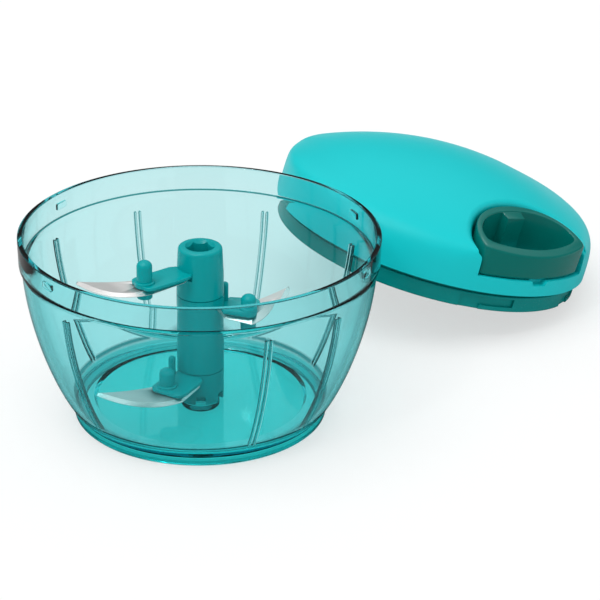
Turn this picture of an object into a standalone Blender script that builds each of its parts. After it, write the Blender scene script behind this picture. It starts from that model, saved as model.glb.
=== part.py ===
"""Pull-cord food chopper: clear bowl, three-blade unit, and a lid with a cord-wound drive.

The bowl stands on Z = 0 with its axis on the world Z axis. The lid lies beside it, taken off,
tilted on the lower edge of its ring and the tip of its drive shaft.
"""
import math

import bmesh
import bpy
from mathutils import Matrix, Vector

MM = 0.001
GAP = 0.3 * MM                      # clearance between pieces that touch
RUN = 0.4 * MM                      # radial clearance of a turning fit
TURN_STEPS = 60                     # sides of the large round pieces
MEDIUM_STEPS = 36                   # sides of the column and the drive pieces
SMALL_STEPS = 20                    # sides of the small round pieces
PEG_STEPS = 16                      # sides of the pegs on the arms
OVERSHOOT = 2.0 * MM                # how far a cutter runs past the face it opens

# Bowl
RIM_R = 60.5 * MM
RIM_Z = 65.0 * MM
COLLAR_Z = RIM_Z - 8.0 * MM         # step where the collar starts
COLLAR_STEP = 1.4 * MM
BOWL_WALL = 1.8 * MM
FOOT_R = 43.0 * MM
FOOT_HEIGHT = 3.6 * MM
FOOT_WIDTH = 3.0 * MM
FLOOR_TOP_Z = 4.2 * MM
FLOOR_THICKNESS = 2.0 * MM
BELLY_LOW = (FOOT_R + 5.5 * MM, 9.5 * MM)   # control points of the wall's curve, radius and height
BELLY_HIGH = (RIM_R - 2.1 * MM, 33.0 * MM)
BOSS_R = 6.5 * MM
RIB_AZIMUTHS = (23, 65, 114, 151, 219, 294, 323)
RIB_WIDTH = 3.0 * MM
RIB_DEPTH = 1.3 * MM
RIB_TOP_Z = COLLAR_Z - 6.5 * MM
LUG_AZIMUTHS = (25, 145, 215, 335)
LUG_LENGTH = 5.2 * MM
LUG_HEIGHT = 2.4 * MM
LUG_DEPTH = 0.8 * MM
LUG_Z = RIM_Z - 4.2 * MM

# Pivot pin in the middle of the bowl floor
PIN_R = 2.5 * MM
PIN_SEAT_Z = 0.9 * MM
PIN_TOP_Z = 27.0 * MM
PIN_NOSE = 0.8 * MM

# Blade unit: three column sections stacked on spigots
COLUMN_R = 8.0 * MM
COLUMN_TOP_R = 7.5 * MM
COLUMN_TOP_ROUND = 1.2 * MM
COLUMN_TOP_Z = RIM_Z - 5.0 * MM     # keeps the socket in reach of the lid's shaft
SEAM_LOW_Z = 15.4 * MM              # top face of the lower section
SEAM_HIGH_Z = 42.6 * MM             # top face of the middle section
SPIGOT_R = 5.9 * MM
SPIGOT_LENGTH = 5.0 * MM
FOOT_TEETH = 6
FOOT_TOOTH_HEIGHT = 3.0 * MM
FOOT_TOOTH_GAP = 3.4 * MM
SHAFT_FLATS = 7.6 * MM              # across the flats of the lid's drive shaft
SOCKET_FLATS = SHAFT_FLATS + 2 * GAP
SOCKET_DEPTH = 18.4 * MM

# Arms and blades. u runs out along the arm, v is positive on the cutting side.
BLADE_THICKNESS = 0.9 * MM
BEVEL_WIDTH = 1.7 * MM
BEVEL_LAND = 0.15 * MM
ROOT_DEPTH = 1.4 * MM               # how far the blade's root goes into the column
ROOT_BACK = 2.6 * MM
HEEL_STEP = 0.9 * MM
PLATE_THICKNESS = 1.2 * MM
PEG_R = 2.6 * MM
PEG_FLANGE_R = 3.4 * MM
PEG_FLANGE_HEIGHT = 0.7 * MM
PEG_NECK_R = 1.7 * MM
STAKE_HEIGHT = 2.6 * MM
SIDE_PEG_R = 1.2 * MM
SIDE_PEG_HEIGHT = 6.6 * MM
CURVE_STEPS = 10
ARMS = {
    "upper": dict(
        azimuth=-143, hand=1, blade_z=50.4 * MM, plate_tip=25.4 * MM, plate_low=-5.5 * MM,
        plate_high=5.4 * MM, peg=(22.9 * MM, 0.0), peg_height=8.0 * MM, side_peg=None,
        heel=(22.6 * MM, 4.9 * MM), belly=(38.9 * MM, 3.2 * MM), tip=(38.7 * MM, -17.6 * MM),
        hollow=(31.5 * MM, -9.6 * MM), back=(20.5 * MM, -5.2 * MM)),
    "middle": dict(
        azimuth=-8, hand=-1, blade_z=35.6 * MM, plate_tip=19.6 * MM, plate_low=-8.4 * MM,
        plate_high=8.6 * MM, peg=(17.0 * MM, 5.2 * MM), peg_height=7.6 * MM,
        side_peg=(7.6 * MM, -5.9 * MM),
        heel=(18.6 * MM, 9.0 * MM), belly=(28.5 * MM, 1.5 * MM), tip=(28.2 * MM, -23.2 * MM),
        hollow=(22.3 * MM, -14.5 * MM), back=(16.0 * MM, -7.6 * MM)),
    "lower": dict(
        azimuth=-122, hand=1, blade_z=12.9 * MM, plate_tip=22.6 * MM, plate_low=-6.2 * MM,
        plate_high=6.4 * MM, peg=(18.2 * MM, -1.8 * MM), peg_height=6.6 * MM,
        side_peg=(9.7 * MM, -5.3 * MM),
        heel=(21.4 * MM, 6.5 * MM), belly=(36.0 * MM, 1.0 * MM), tip=(32.6 * MM, -21.2 * MM),
        hollow=(27.0 * MM, -12.4 * MM), back=(17.4 * MM, -6.0 * MM)),
}

# Lid, modelled about its own axis: x towards the handle, z up, z = 0 at the dome's lower edge
RING_R = RIM_R - BOWL_WALL - RUN        # the ring drops into the bowl's collar
RING_HEIGHT = 7.6 * MM
RING_WALL = 2.2 * MM
SHADOW_STEP = (1.2 * MM, 1.7 * MM)      # depth and height of the step under the dome's edge
SHAFT_PROUD = 14.5 * MM                 # shaft length below the ring's lower edge
SHAFT_LIFT = 0.05 * MM                  # clearance of its tip above the table
LID_TILT = math.atan2(SHAFT_PROUD + SHAFT_LIFT, RING_R - SHAFT_FLATS / math.sqrt(3))
LID_LOW_AZIMUTH = math.radians(13.6)    # world direction of the lid's low side
LID_AZIMUTH = math.radians(49.57)       # world direction of the lid from the bowl
LID_APART = 12.0 * MM                   # room between the bowl's rim and the lid's edge
HANDLE_TURN = math.radians(-69.0)       # handle direction, from the low side
DOME_OVERHANG = 0.1 * MM                # how far the dome's edge stands out past the bowl's rim
DOME_R = RIM_R + DOME_OVERHANG
DOME_HEIGHT = 30.1 * MM
DOME_FALL_LONG = 15.7 * MM              # fall of the crown out to the dome's edge, along the handle
DOME_FALL_WIDE = 15.0 * MM              # and across it
DOME_WALL = 2.0 * MM
CREASE_R = 250.0 * MM                   # plan radius of the side creases
CREASE_OFFSET = 34.0 * MM               # their distance from the axis
CREASE_MARGIN = 2.3 * MM
CREASE_DROP = 1.0 * MM
SIDE_FULLNESS = 4.5                     # how near the edge the dome stays before it turns down
FRONT_FULLNESS = 1.8
BACK_FULLNESS = 7.9
CROWN_RINGS = 6
SIDE_RINGS = 6
BASE_FLOOR_TOP = -0.6 * MM
BASE_FLOOR = 2.0 * MM
SPIGOT_RISE = 1.9 * MM
SPIGOT_WALL = 1.6 * MM
GROOVE_DEPTH = LUG_DEPTH + 0.15 * MM
GROOVE_ENTRY = LUG_LENGTH + 2.8 * MM
GROOVE_RUN_DEG = 15.0
GROOVE_HEIGHT = LUG_HEIGHT + 0.8 * MM
GROOVE_Z = LUG_Z - RIM_Z                # height of a lug when the lid is on

# Handle and its pocket
HANDLE_WIDTH = 51.0 * MM
HANDLE_FRONT_R = DOME_R - 1.0 * MM      # its front face lies just inside the dome's edge
HANDLE_SHOULDER = HANDLE_FRONT_R - 7.6 * MM     # distance from the axis to the widest line
HANDLE_BACK = 18.3 * MM                 # depth of the bow behind it
HANDLE_FULLNESS = 2.1                   # 2 would make the bow an ellipse
HANDLE_CORNER = 2.5 * MM
HANDLE_BOTTOM = 6.2 * MM
HANDLE_FRONT_TOP = 15.2 * MM
HANDLE_SLOPE = 0.36                     # rise of the top face towards the lid's axis
HANDLE_WALL = 3.0 * MM
HANDLE_FRONT_WALL = 3.8 * MM
OPENING_CORNER = 5.0 * MM
HANDLE_SIDES = 28
ANCHOR_WIDTH = 8.6 * MM
ANCHOR_DEPTH = 3.4 * MM
ANCHOR_BACK_WALL = 1.5 * MM             # what the cord's stop pulls against
ANCHOR_POCKET = (3.0 * MM, 4.4 * MM)    # depth and width of the stop's pocket
ANCHOR_POCKET_TOP = 12.6 * MM
POCKET_CLEAR = 1.0 * MM
POCKET_WALL = 1.6 * MM
POCKET_FLARE = 4.4 * MM
POCKET_FLARE_Z = 16.0 * MM
NOTCH_WIDTH = 10.0 * MM
NOTCH_FLOOR_WIDTH = 6.0 * MM
NOTCH_DEPTH = 2.6 * MM
NOTCH_REACH = 3.2 * MM
NOTCH_BACK = (4.0 * MM, 15.0 * MM)      # depth and width of the block that the notch is cut in

# Drive inside the lid
CORD_R = 0.8 * MM
CORD_Z = 10.2 * MM
EYELET_FLANGE = 0.7 * MM
DRUM_ROOM = 6.4 * MM                    # room for the cord's bend between the drum and its eyelet
POCKET_BACK = HANDLE_SHOULDER - HANDLE_BACK - POCKET_CLEAR  # from the axis to the pocket's back
DRUM_R = POCKET_BACK - POCKET_WALL - EYELET_FLANGE - DRUM_ROOM
DRUM_CORE_R = DRUM_R - 4.0 * MM
DRUM_WALL = 2.4 * MM
DRUM_FLANGE = 1.3 * MM
DRUM_BOTTOM = 5.0 * MM
DRUM_TOP = 13.4 * MM
DRUM_WEB = 1.6 * MM
KEY_FLATS = 11.0 * MM                   # across the flats of the shaft's key in the drum
SPINDLE_R = 2.5 * MM
SPRING_HEIGHT = 4.4 * MM
SPRING_STRIP = 0.5 * MM
SPRING_TURNS = 4
SPRING_STEPS = 18                       # straight stretches in a turn of the spring
ARBOR_R = 5.2 * MM
COVER_R = DRUM_R + 2.0 * MM
COVER_THICKNESS = 1.4 * MM
LEG_R = 2.2 * MM
LEG_CIRCLE_R = COVER_R + 4.0 * MM
LEG_ANGLES = (70, 180, 290)
HUB_R = 10.0 * MM
HUB_BOTTOM = 0.4 * MM
JOURNAL_R = 4.8 * MM
SPINDLE_TOP = DRUM_TOP - 0.4 * MM
WASHER_R = 7.6 * MM
WASHER_THICKNESS = 1.0 * MM
EYELET_R = 2.3 * MM
EYELET_FLANGE_R = 3.0 * MM
EYELET_BORE = 1.5 * MM
KNOT_R = 1.3 * MM
SCREW_ANGLES = (45, 135, 225, 315)
SCREW_R = 1.4 * MM
SCREW_HEAD_R = 2.8 * MM
SCREW_HEAD = 1.4 * MM
SCREW_TOP = 9.0 * MM
SCREW_BOSS_R = 3.6 * MM
SCREW_CIRCLE_R = RING_R - RING_WALL - SCREW_BOSS_R - 2.5 * MM

COLOURS = {
    "clear_teal": ((0.24, 0.74, 0.72, 0.45), 0.08, 0.0),
    "teal": ((0.0, 0.36, 0.36, 1.0), 0.35, 0.0),
    "turquoise": ((0.02, 0.60, 0.66, 1.0), 0.40, 0.0),
    "dark_green": ((0.0, 0.16, 0.13, 1.0), 0.30, 0.0),
    "ring_teal": ((0.0, 0.24, 0.23, 1.0), 0.35, 0.0),
    "steel": ((0.72, 0.70, 0.69, 1.0), 0.30, 1.0),
    "white_nylon": ((0.80, 0.80, 0.76, 1.0), 0.50, 0.0),
    "cord": ((0.85, 0.85, 0.82, 1.0), 0.80, 0.0),
}


def clear_scene():
    for item in list(bpy.data.objects):
        bpy.data.objects.remove(item, do_unlink=True)


def make_material(name):
    colour, roughness, metallic = COLOURS[name]
    material = bpy.data.materials.new(name)
    material.use_nodes = True
    shader = material.node_tree.nodes["Principled BSDF"]
    shader.inputs["Base Color"].default_value = colour
    shader.inputs["Roughness"].default_value = roughness
    shader.inputs["Metallic"].default_value = metallic
    shader.inputs["Alpha"].default_value = colour[3]
    return material


def add_object(name, bm, material=None, parent=None):
    """Turn a bmesh into an object, shaded smooth with its sharp edges kept."""
    bmesh.ops.remove_doubles(bm, verts=bm.verts, dist=1e-7)
    bmesh.ops.recalc_face_normals(bm, faces=bm.faces)
    mesh = bpy.data.meshes.new(name)
    bm.to_mesh(mesh)
    bm.free()
    mesh.shade_smooth()
    mesh.set_sharp_from_angle(angle=math.radians(32))
    item = bpy.data.objects.new(name, mesh)
    bpy.context.scene.collection.objects.link(item)
    if material:
        mesh.materials.append(material)
    if parent:
        item.parent = parent
    return item


def combine(item, tools, operation):
    """Cut the tools out of an object, join them to it, or keep only what they share."""
    for tool in tools:
        tool.hide_render = True
        tool.display_type = "WIRE"
        tool.parent = item.parent
        modifier = item.modifiers.new(operation.title(), "BOOLEAN")
        modifier.operation = operation
        modifier.object = tool
        modifier.solver = "EXACT"


def turned(profile, steps=TURN_STEPS):
    """Turn a closed outline of (radius, height) points about Z."""
    bm = bmesh.new()
    verts = [bm.verts.new((radius, 0.0, height)) for radius, height in profile]
    edges = [bm.edges.new((verts[i - 1], verts[i])) for i in range(len(verts))]
    bmesh.ops.spin(bm, geom=verts + edges, cent=(0, 0, 0), axis=(0, 0, 1),
                   angle=2 * math.pi, steps=steps, use_merge=True)
    bmesh.ops.remove_doubles(bm, verts=bm.verts, dist=1e-7)
    bmesh.ops.dissolve_degenerate(bm, edges=bm.edges, dist=1e-7)
    return bm


def cylinder(radius, low, high, at=(0.0, 0.0), steps=SMALL_STEPS):
    bm = bmesh.new()
    bmesh.ops.create_cone(bm, cap_ends=True, segments=steps, radius1=radius, radius2=radius,
                          depth=high - low)
    bmesh.ops.translate(bm, vec=(at[0], at[1], (low + high) / 2), verts=bm.verts)
    return bm


def prism(outline, low, high):
    """Raise a flat outline of (x, y) points from one height to another."""
    bm = bmesh.new()
    face = bm.faces.new([bm.verts.new((x, y, low)) for x, y in outline])
    raised = bmesh.ops.extrude_face_region(bm, geom=[face])
    top = [v for v in raised["geom"] if isinstance(v, bmesh.types.BMVert)]
    bmesh.ops.translate(bm, vec=(0, 0, high - low), verts=top)
    return bm


def join(*parts):
    """Put several closed shapes into one bmesh, each still its own body."""
    whole = parts[0]
    for part in parts[1:]:
        mesh = bpy.data.meshes.new("part")
        part.to_mesh(mesh)
        part.free()
        whole.from_mesh(mesh)
        bpy.data.meshes.remove(mesh)
    return whole


def bezier(points, steps, include_start=True):
    """Points along a quadratic or cubic curve given by its control points."""
    first = 0 if include_start else 1
    degree = len(points) - 1
    result = []
    for step in range(first, steps + 1):
        t = step / steps
        weights = [math.comb(degree, k) * (1 - t) ** (degree - k) * t ** k for k in range(degree + 1)]
        result.append(tuple(sum(w * p[axis] for w, p in zip(weights, points)) for axis in (0, 1)))
    return result


def hexagon(across_flats):
    corner = across_flats / math.sqrt(3)
    return [(corner * math.cos(k * math.pi / 3), corner * math.sin(k * math.pi / 3)) for k in range(6)]


def arc(radius, start_deg, end_deg, steps, centre=(0.0, 0.0)):
    angles = [math.radians(start_deg + (end_deg - start_deg) * k / steps) for k in range(steps + 1)]
    return [(centre[0] + radius * math.cos(a), centre[1] + radius * math.sin(a)) for a in angles]


# Bowl

def bowl_wall():
    """Outer curve of the bowl, from the top of its foot up to the collar."""
    start = (FOOT_R + 0.2 * MM, FOOT_HEIGHT)
    end = (RIM_R - COLLAR_STEP, COLLAR_Z)
    return bezier([start, BELLY_LOW, BELLY_HIGH, end], 9)


def wall_normal_offset(curve, distance):
    """Move each point of a (radius, height) curve towards the axis, square to the curve."""
    moved = []
    for k, (radius, height) in enumerate(curve):
        before = curve[max(k - 1, 0)]
        after = curve[min(k + 1, len(curve) - 1)]
        run = Vector((after[0] - before[0], after[1] - before[1])).normalized()
        moved.append((radius - run.y * distance, height + run.x * distance))
    return moved


def make_bowl(materials):
    outer = bowl_wall()
    inner = [p for p in wall_normal_offset(outer, BOWL_WALL) if p[1] > FLOOR_TOP_Z + 1.5 * MM]
    floor_r = inner[0][0] - 1.2 * MM
    collar_r = RIM_R - BOWL_WALL
    underside = FLOOR_TOP_Z - FLOOR_THICKNESS
    foot_inner = FOOT_R - FOOT_WIDTH
    profile = [(0.0, 0.0), (BOSS_R, 0.0), (BOSS_R, underside), (foot_inner, underside),
               (foot_inner + 0.3 * MM, 0.0), (FOOT_R - 0.4 * MM, 0.0), (FOOT_R, 0.5 * MM)]
    profile += outer
    profile += [(RIM_R, COLLAR_Z + 0.5 * MM), (RIM_R, RIM_Z - 0.5 * MM), (RIM_R - 0.5 * MM, RIM_Z),
                (collar_r + 0.5 * MM, RIM_Z), (collar_r, RIM_Z - 0.5 * MM),
                (collar_r, COLLAR_Z + 0.9 * MM)]
    profile += inner[::-1]
    profile += [(floor_r, FLOOR_TOP_Z), (0.0, FLOOR_TOP_Z)]
    bowl = add_object("bowl", turned(profile), materials["clear_teal"])

    ribs = []
    side = [p for p in inner if p[1] < RIB_TOP_Z]
    sunk = [(r + 0.9 * MM, z) for r, z in side]
    front = [(r - RIB_DEPTH, z) for r, z in side]
    low = (side[0][0] - RIB_DEPTH, FLOOR_TOP_Z - 0.8 * MM)
    section = sunk + front[::-1] + [low, (sunk[0][0], low[1])]
    for azimuth in RIB_AZIMUTHS:
        bm = bmesh.new()
        face = bm.faces.new([bm.verts.new((r, -RIB_WIDTH / 2, z)) for r, z in section])
        pushed = bmesh.ops.extrude_face_region(bm, geom=[face])
        moved = [v for v in pushed["geom"] if isinstance(v, bmesh.types.BMVert)]
        bmesh.ops.translate(bm, vec=(0, RIB_WIDTH, 0), verts=moved)
        bmesh.ops.rotate(bm, matrix=Matrix.Rotation(math.radians(azimuth), 3, "Z"), verts=bm.verts)
        ribs.append(bm)
    for azimuth in LUG_AZIMUTHS:
        bm = bmesh.new()
        bmesh.ops.create_cube(bm, size=1.0)
        bmesh.ops.scale(bm, vec=(2 * LUG_DEPTH, LUG_LENGTH, LUG_HEIGHT), verts=bm.verts)
        bmesh.ops.translate(bm, vec=(collar_r, 0, LUG_Z), verts=bm.verts)
        bmesh.ops.rotate(bm, matrix=Matrix.Rotation(math.radians(azimuth), 3, "Z"), verts=bm.verts)
        ribs.append(bm)
    combine(bowl, [add_object("rib_tool", join(*ribs))], "UNION")
    seat = add_object("pin_seat_tool", cylinder(PIN_R + GAP, PIN_SEAT_Z, FLOOR_TOP_Z + OVERSHOOT))
    combine(bowl, [seat], "DIFFERENCE")

    low = PIN_SEAT_Z + GAP
    pin = [(0.0, low), (PIN_R, low), (PIN_R, PIN_TOP_Z - PIN_NOSE), (PIN_R - PIN_NOSE, PIN_TOP_Z),
           (0.0, PIN_TOP_Z)]
    add_object("pivot_pin", turned(pin, SMALL_STEPS), materials["steel"])


# Blade unit

def place_arm(arm, u, v):
    """World position of a point given along and across an arm."""
    turn = math.radians(arm["azimuth"])
    side = v * arm["hand"]
    return (u * math.cos(turn) - side * math.sin(turn), u * math.sin(turn) + side * math.cos(turn))


def arm_tools(arm):
    """Plate, peg, neck and stake of an arm, joined to its column section."""
    plate_low = arm["blade_z"] + BLADE_THICKNESS + GAP
    plate_high = plate_low + PLATE_THICKNESS
    low, high, end = arm["plate_low"], arm["plate_high"], arm["plate_tip"]
    corner = 2.6 * MM
    outline = [(0.0, low), (end - corner, low)]
    outline += arc(corner, -60, 0, 3, (end - corner, low + corner))
    outline += arc(corner, 0, 60, 3, (end - corner, high - corner))
    outline += [(end - corner, high), (0.0, high)]
    plate = prism([place_arm(arm, u, v) for u, v in outline], plate_low, plate_high)

    at = place_arm(arm, *arm["peg"])
    top = plate_high + arm["peg_height"]
    stake_top = arm["blade_z"] - GAP
    stake_low = stake_top - STAKE_HEIGHT
    dome = [(PEG_R * math.cos(a), top - PEG_R * 0.8 + PEG_R * 0.8 * math.sin(a))
            for a in (k * math.pi / 6 for k in range(4))]
    profile = [(0.0, stake_low), (PEG_R - 0.3 * MM, stake_low), (PEG_R, stake_top),
               (PEG_NECK_R, stake_top), (PEG_NECK_R, plate_low + 0.2 * MM),
               (PEG_FLANGE_R, plate_low + 0.2 * MM), (PEG_FLANGE_R, plate_high + PEG_FLANGE_HEIGHT),
               (PEG_R + 0.2 * MM, plate_high + PEG_FLANGE_HEIGHT + 0.2 * MM)]
    profile += dome[:-1] + [(0.0, top)]
    peg = turned(profile, PEG_STEPS)
    bmesh.ops.translate(peg, vec=(at[0], at[1], 0), verts=peg.verts)
    tools = [add_object("plate_tool", plate), add_object("peg_tool", peg)]
    if arm["side_peg"]:
        foot = place_arm(arm, *arm["side_peg"])
        side_top = plate_high + SIDE_PEG_HEIGHT
        tools.append(add_object("side_peg_tool", cylinder(SIDE_PEG_R, plate_low, side_top, foot, 12)))
    return tools


def blade_slot(arm):
    """Slot in a column section that takes the root of the blade."""
    near, far = COLUMN_R - ROOT_DEPTH - GAP, COLUMN_R + OVERSHOOT
    low, high = -ROOT_BACK - GAP, arm["heel"][1] - HEEL_STEP + GAP
    outline = [(near, low), (far, low), (far, high), (near, high)]
    floor = arm["blade_z"] - GAP
    roof = arm["blade_z"] + BLADE_THICKNESS + GAP
    return add_object("slot_tool", prism([place_arm(arm, u, v) for u, v in outline], floor, roof))


def make_blade(name, arm, materials):
    """Blade blank with its cutting edge ground down from the top face."""
    root_u = COLUMN_R - ROOT_DEPTH
    edge = [(root_u, arm["heel"][1] * 0.55)]
    edge += [(COLUMN_R + 1.5 * MM, arm["heel"][1] - HEEL_STEP)]
    edge += bezier([arm["heel"], arm["belly"], arm["tip"]], CURVE_STEPS)
    spine = bezier([arm["tip"], arm["hollow"], arm["back"]], CURVE_STEPS, include_start=False)
    spine += [(COLUMN_R + 1.5 * MM, -ROOT_BACK), (root_u, -ROOT_BACK)]
    ground = []
    for k, (u, v) in enumerate(edge):
        before = Vector(edge[max(k - 1, 0)])
        after = Vector(edge[min(k + 1, len(edge) - 1)])
        run = (after - before).normalized()
        width = BEVEL_WIDTH if k > 1 else 0.0
        if k >= len(edge) - 3:
            width *= (len(edge) - 1 - k) / 3
        ground.append((u + run.y * width, v - run.x * width))
    low = [place_arm(arm, u, v) for u, v in edge + spine]
    high = [place_arm(arm, u, v) for u, v in ground + spine]
    bottom_z = arm["blade_z"]
    top_z = bottom_z + BLADE_THICKNESS
    bm = bmesh.new()
    lows = [bm.verts.new((x, y, bottom_z)) for x, y in low]
    lands = [bm.verts.new((x, y, bottom_z + BEVEL_LAND)) for x, y in low]
    highs = [bm.verts.new((x, y, top_z)) for x, y in high]
    bm.faces.new(lows[::-1])
    bm.faces.new(highs)
    for k in range(len(low)):
        for below, above in ((lows, lands), (lands, highs)):
            bm.faces.new([below[k - 1], below[k], above[k], above[k - 1]])
    blade = add_object(name, bm, materials["steel"])
    at = place_arm(arm, *arm["peg"])
    hole = cylinder(PEG_NECK_R + GAP, bottom_z - OVERSHOOT, top_z + OVERSHOOT, at)
    combine(blade, [add_object("blade_hole_tool", hole)], "DIFFERENCE")


def make_blade_unit(materials):
    foot_z = FLOOR_TOP_Z + GAP
    bore = PIN_R + RUN
    recess = SPIGOT_R + GAP
    lower = [(0.0, foot_z), (COLUMN_R, foot_z), (COLUMN_R, SEAM_LOW_Z), (0.0, SEAM_LOW_Z)]
    middle_low = SEAM_LOW_Z + GAP
    spigot_low = middle_low - SPIGOT_LENGTH
    bore_top = PIN_TOP_Z + 2 * GAP
    middle = [(bore, spigot_low), (SPIGOT_R, spigot_low), (SPIGOT_R, middle_low),
              (COLUMN_R, middle_low), (COLUMN_R, SEAM_HIGH_Z), (0.0, SEAM_HIGH_Z),
              (0.0, bore_top), (bore, bore_top)]
    upper_low = SEAM_HIGH_Z + GAP
    upper = [(0.0, upper_low - SPIGOT_LENGTH + GAP), (SPIGOT_R, upper_low - SPIGOT_LENGTH + GAP),
             (SPIGOT_R, upper_low), (COLUMN_R, upper_low), (COLUMN_R - 0.1 * MM, upper_low + 8 * MM)]
    upper += [(COLUMN_TOP_R - COLUMN_TOP_ROUND + x, COLUMN_TOP_Z - COLUMN_TOP_ROUND + z)
              for x, z in arc(COLUMN_TOP_ROUND, 0, 90, 4)]
    upper += [(0.0, COLUMN_TOP_Z)]
    sections = {"lower": lower, "middle": middle, "upper": upper}
    for place, profile in sections.items():
        arm = ARMS[place]
        section = add_object("column_" + place, turned(profile, MEDIUM_STEPS), materials["teal"])
        cuts = [blade_slot(arm)]
        if place == "upper":
            socket = prism(hexagon(SOCKET_FLATS), COLUMN_TOP_Z - SOCKET_DEPTH, COLUMN_TOP_Z + OVERSHOOT)
            cuts.append(add_object("socket_tool", socket))
        else:
            seam = SEAM_LOW_Z if place == "lower" else SEAM_HIGH_Z
            recess_tool = cylinder(recess, seam - SPIGOT_LENGTH, seam + OVERSHOOT, steps=MEDIUM_STEPS)
            cuts.append(add_object("recess_tool", recess_tool))
        if place == "lower":
            bore_tool = cylinder(bore, foot_z - OVERSHOOT, SEAM_LOW_Z - OVERSHOOT)
            cuts.append(add_object("bore_tool", bore_tool))
        combine(section, arm_tools(arm), "UNION")
        if place == "lower":
            gaps = []
            for k in range(FOOT_TEETH):
                bm = bmesh.new()
                bmesh.ops.create_cube(bm, size=1.0)
                bmesh.ops.scale(bm, vec=(COLUMN_R, FOOT_TOOTH_GAP, 2 * FOOT_TOOTH_HEIGHT), verts=bm.verts)
                bmesh.ops.translate(bm, vec=(COLUMN_R + 1.0 * MM, 0, foot_z), verts=bm.verts)
                turn = Matrix.Rotation(2 * math.pi * (k + 0.5) / FOOT_TEETH, 3, "Z")
                bmesh.ops.rotate(bm, matrix=turn, verts=bm.verts)
                gaps.append(bm)
            cuts.append(add_object("foot_gap_tool", join(*gaps)))
        combine(section, cuts, "DIFFERENCE")
        make_blade("blade_" + place, arm, materials)


# Lid

def lid_matrix():
    """Lid axes in the world: x towards the handle, z along the lid's axis."""
    tilt, low = LID_TILT, LID_LOW_AZIMUTH
    axis = Vector((math.sin(tilt) * math.cos(low), math.sin(tilt) * math.sin(low), math.cos(tilt)))
    down = Vector((math.cos(tilt) * math.cos(low), math.cos(tilt) * math.sin(low), -math.sin(tilt)))
    across = axis.cross(down)
    x_axis = down * math.cos(HANDLE_TURN) + across * math.sin(HANDLE_TURN)
    y_axis = axis.cross(x_axis)
    away = RIM_R + DOME_R + LID_APART
    edge_centre = Vector((away * math.cos(LID_AZIMUTH), away * math.sin(LID_AZIMUTH), RING_R * math.sin(tilt)))
    origin = edge_centre + axis * RING_HEIGHT
    turn = Matrix((x_axis, y_axis, axis)).transposed().to_4x4()
    return Matrix.Translation(origin) @ turn


def crown_height(x, y, drop=0.0):
    return DOME_HEIGHT - drop - DOME_FALL_LONG * (x / DOME_R) ** 2 - DOME_FALL_WIDE * (y / DOME_R) ** 2


def crease_radius(angle):
    """Distance from the axis to the edge of the crown in a given direction."""
    side = abs(math.sin(angle))
    along = math.cos(angle)
    shift = CREASE_R - CREASE_OFFSET
    reach = math.sqrt(CREASE_R ** 2 - (shift * along) ** 2) - shift * side
    return min(reach, DOME_R - CREASE_MARGIN)


def crease_drop(angle):
    """How far the side facet leans below the crown: full at the sides, none near the handle."""
    forward = math.cos(angle)
    fade = min(max((0.75 - forward) / 0.5, 0.0), 1.0)
    return CREASE_DROP * fade * min(1.0, 4 * abs(math.sin(angle)) ** 2)


def dome_ring_points(angle, radius=DOME_R, drop=0.0):
    """Points of the dome from its crown down to its edge in one direction."""
    c, s = math.cos(angle), math.sin(angle)
    crease = crease_radius(angle) * radius / DOME_R
    points = []
    for ring in range(1, CROWN_RINGS + 1):
        r = crease * ring / CROWN_RINGS
        points.append((r, crown_height(r * c, r * s, drop)))
    slope = -2 * crease * (DOME_FALL_LONG * c * c + DOME_FALL_WIDE * s * s) / DOME_R ** 2
    z_crease = points[-1][1]
    z_corner = z_crease + slope * (radius - crease) - crease_drop(angle)
    weight = SIDE_FULLNESS + ((FRONT_FULLNESS if c > 0 else BACK_FULLNESS) - SIDE_FULLNESS) * abs(c)
    for step in range(1, SIDE_RINGS + 1):
        t = step / SIDE_RINGS
        parts = ((1 - t) ** 2, 2 * weight * t * (1 - t), t * t)
        total = sum(parts)
        r = (parts[0] * crease + (parts[1] + parts[2]) * radius) / total
        z = (parts[0] * z_crease + parts[1] * z_corner) / total
        points.append((r, z))
    return [(r * c, r * s, z) for r, z in points]


def dome_shell(solid):
    """The dome as a closed shell, or as a solid that ends halfway through its wall."""
    bm = bmesh.new()
    middle = (DOME_R - DOME_WALL / 2, DOME_WALL / 2)
    skins = [middle] if solid else [(DOME_R, 0.0), (DOME_R - DOME_WALL, DOME_WALL)]
    rims = []
    for radius, drop in skins:
        centre = bm.verts.new((0, 0, crown_height(0, 0, drop)))
        rays = []
        for k in range(TURN_STEPS):
            angle = 2 * math.pi * k / TURN_STEPS
            rays.append([bm.verts.new(p) for p in dome_ring_points(angle, radius, drop)])
        for k in range(TURN_STEPS):
            one, two = rays[k - 1], rays[k]
            bm.faces.new((centre, one[0], two[0]))
            for ring in range(len(one) - 1):
                bm.faces.new((one[ring], one[ring + 1], two[ring + 1], two[ring]))
        rims.append([ray[-1] for ray in rays])
    if solid:
        bm.faces.new(rims[0])
    else:
        for k in range(TURN_STEPS):
            bm.faces.new((rims[0][k - 1], rims[0][k], rims[1][k], rims[1][k - 1]))
    return bm


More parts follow.
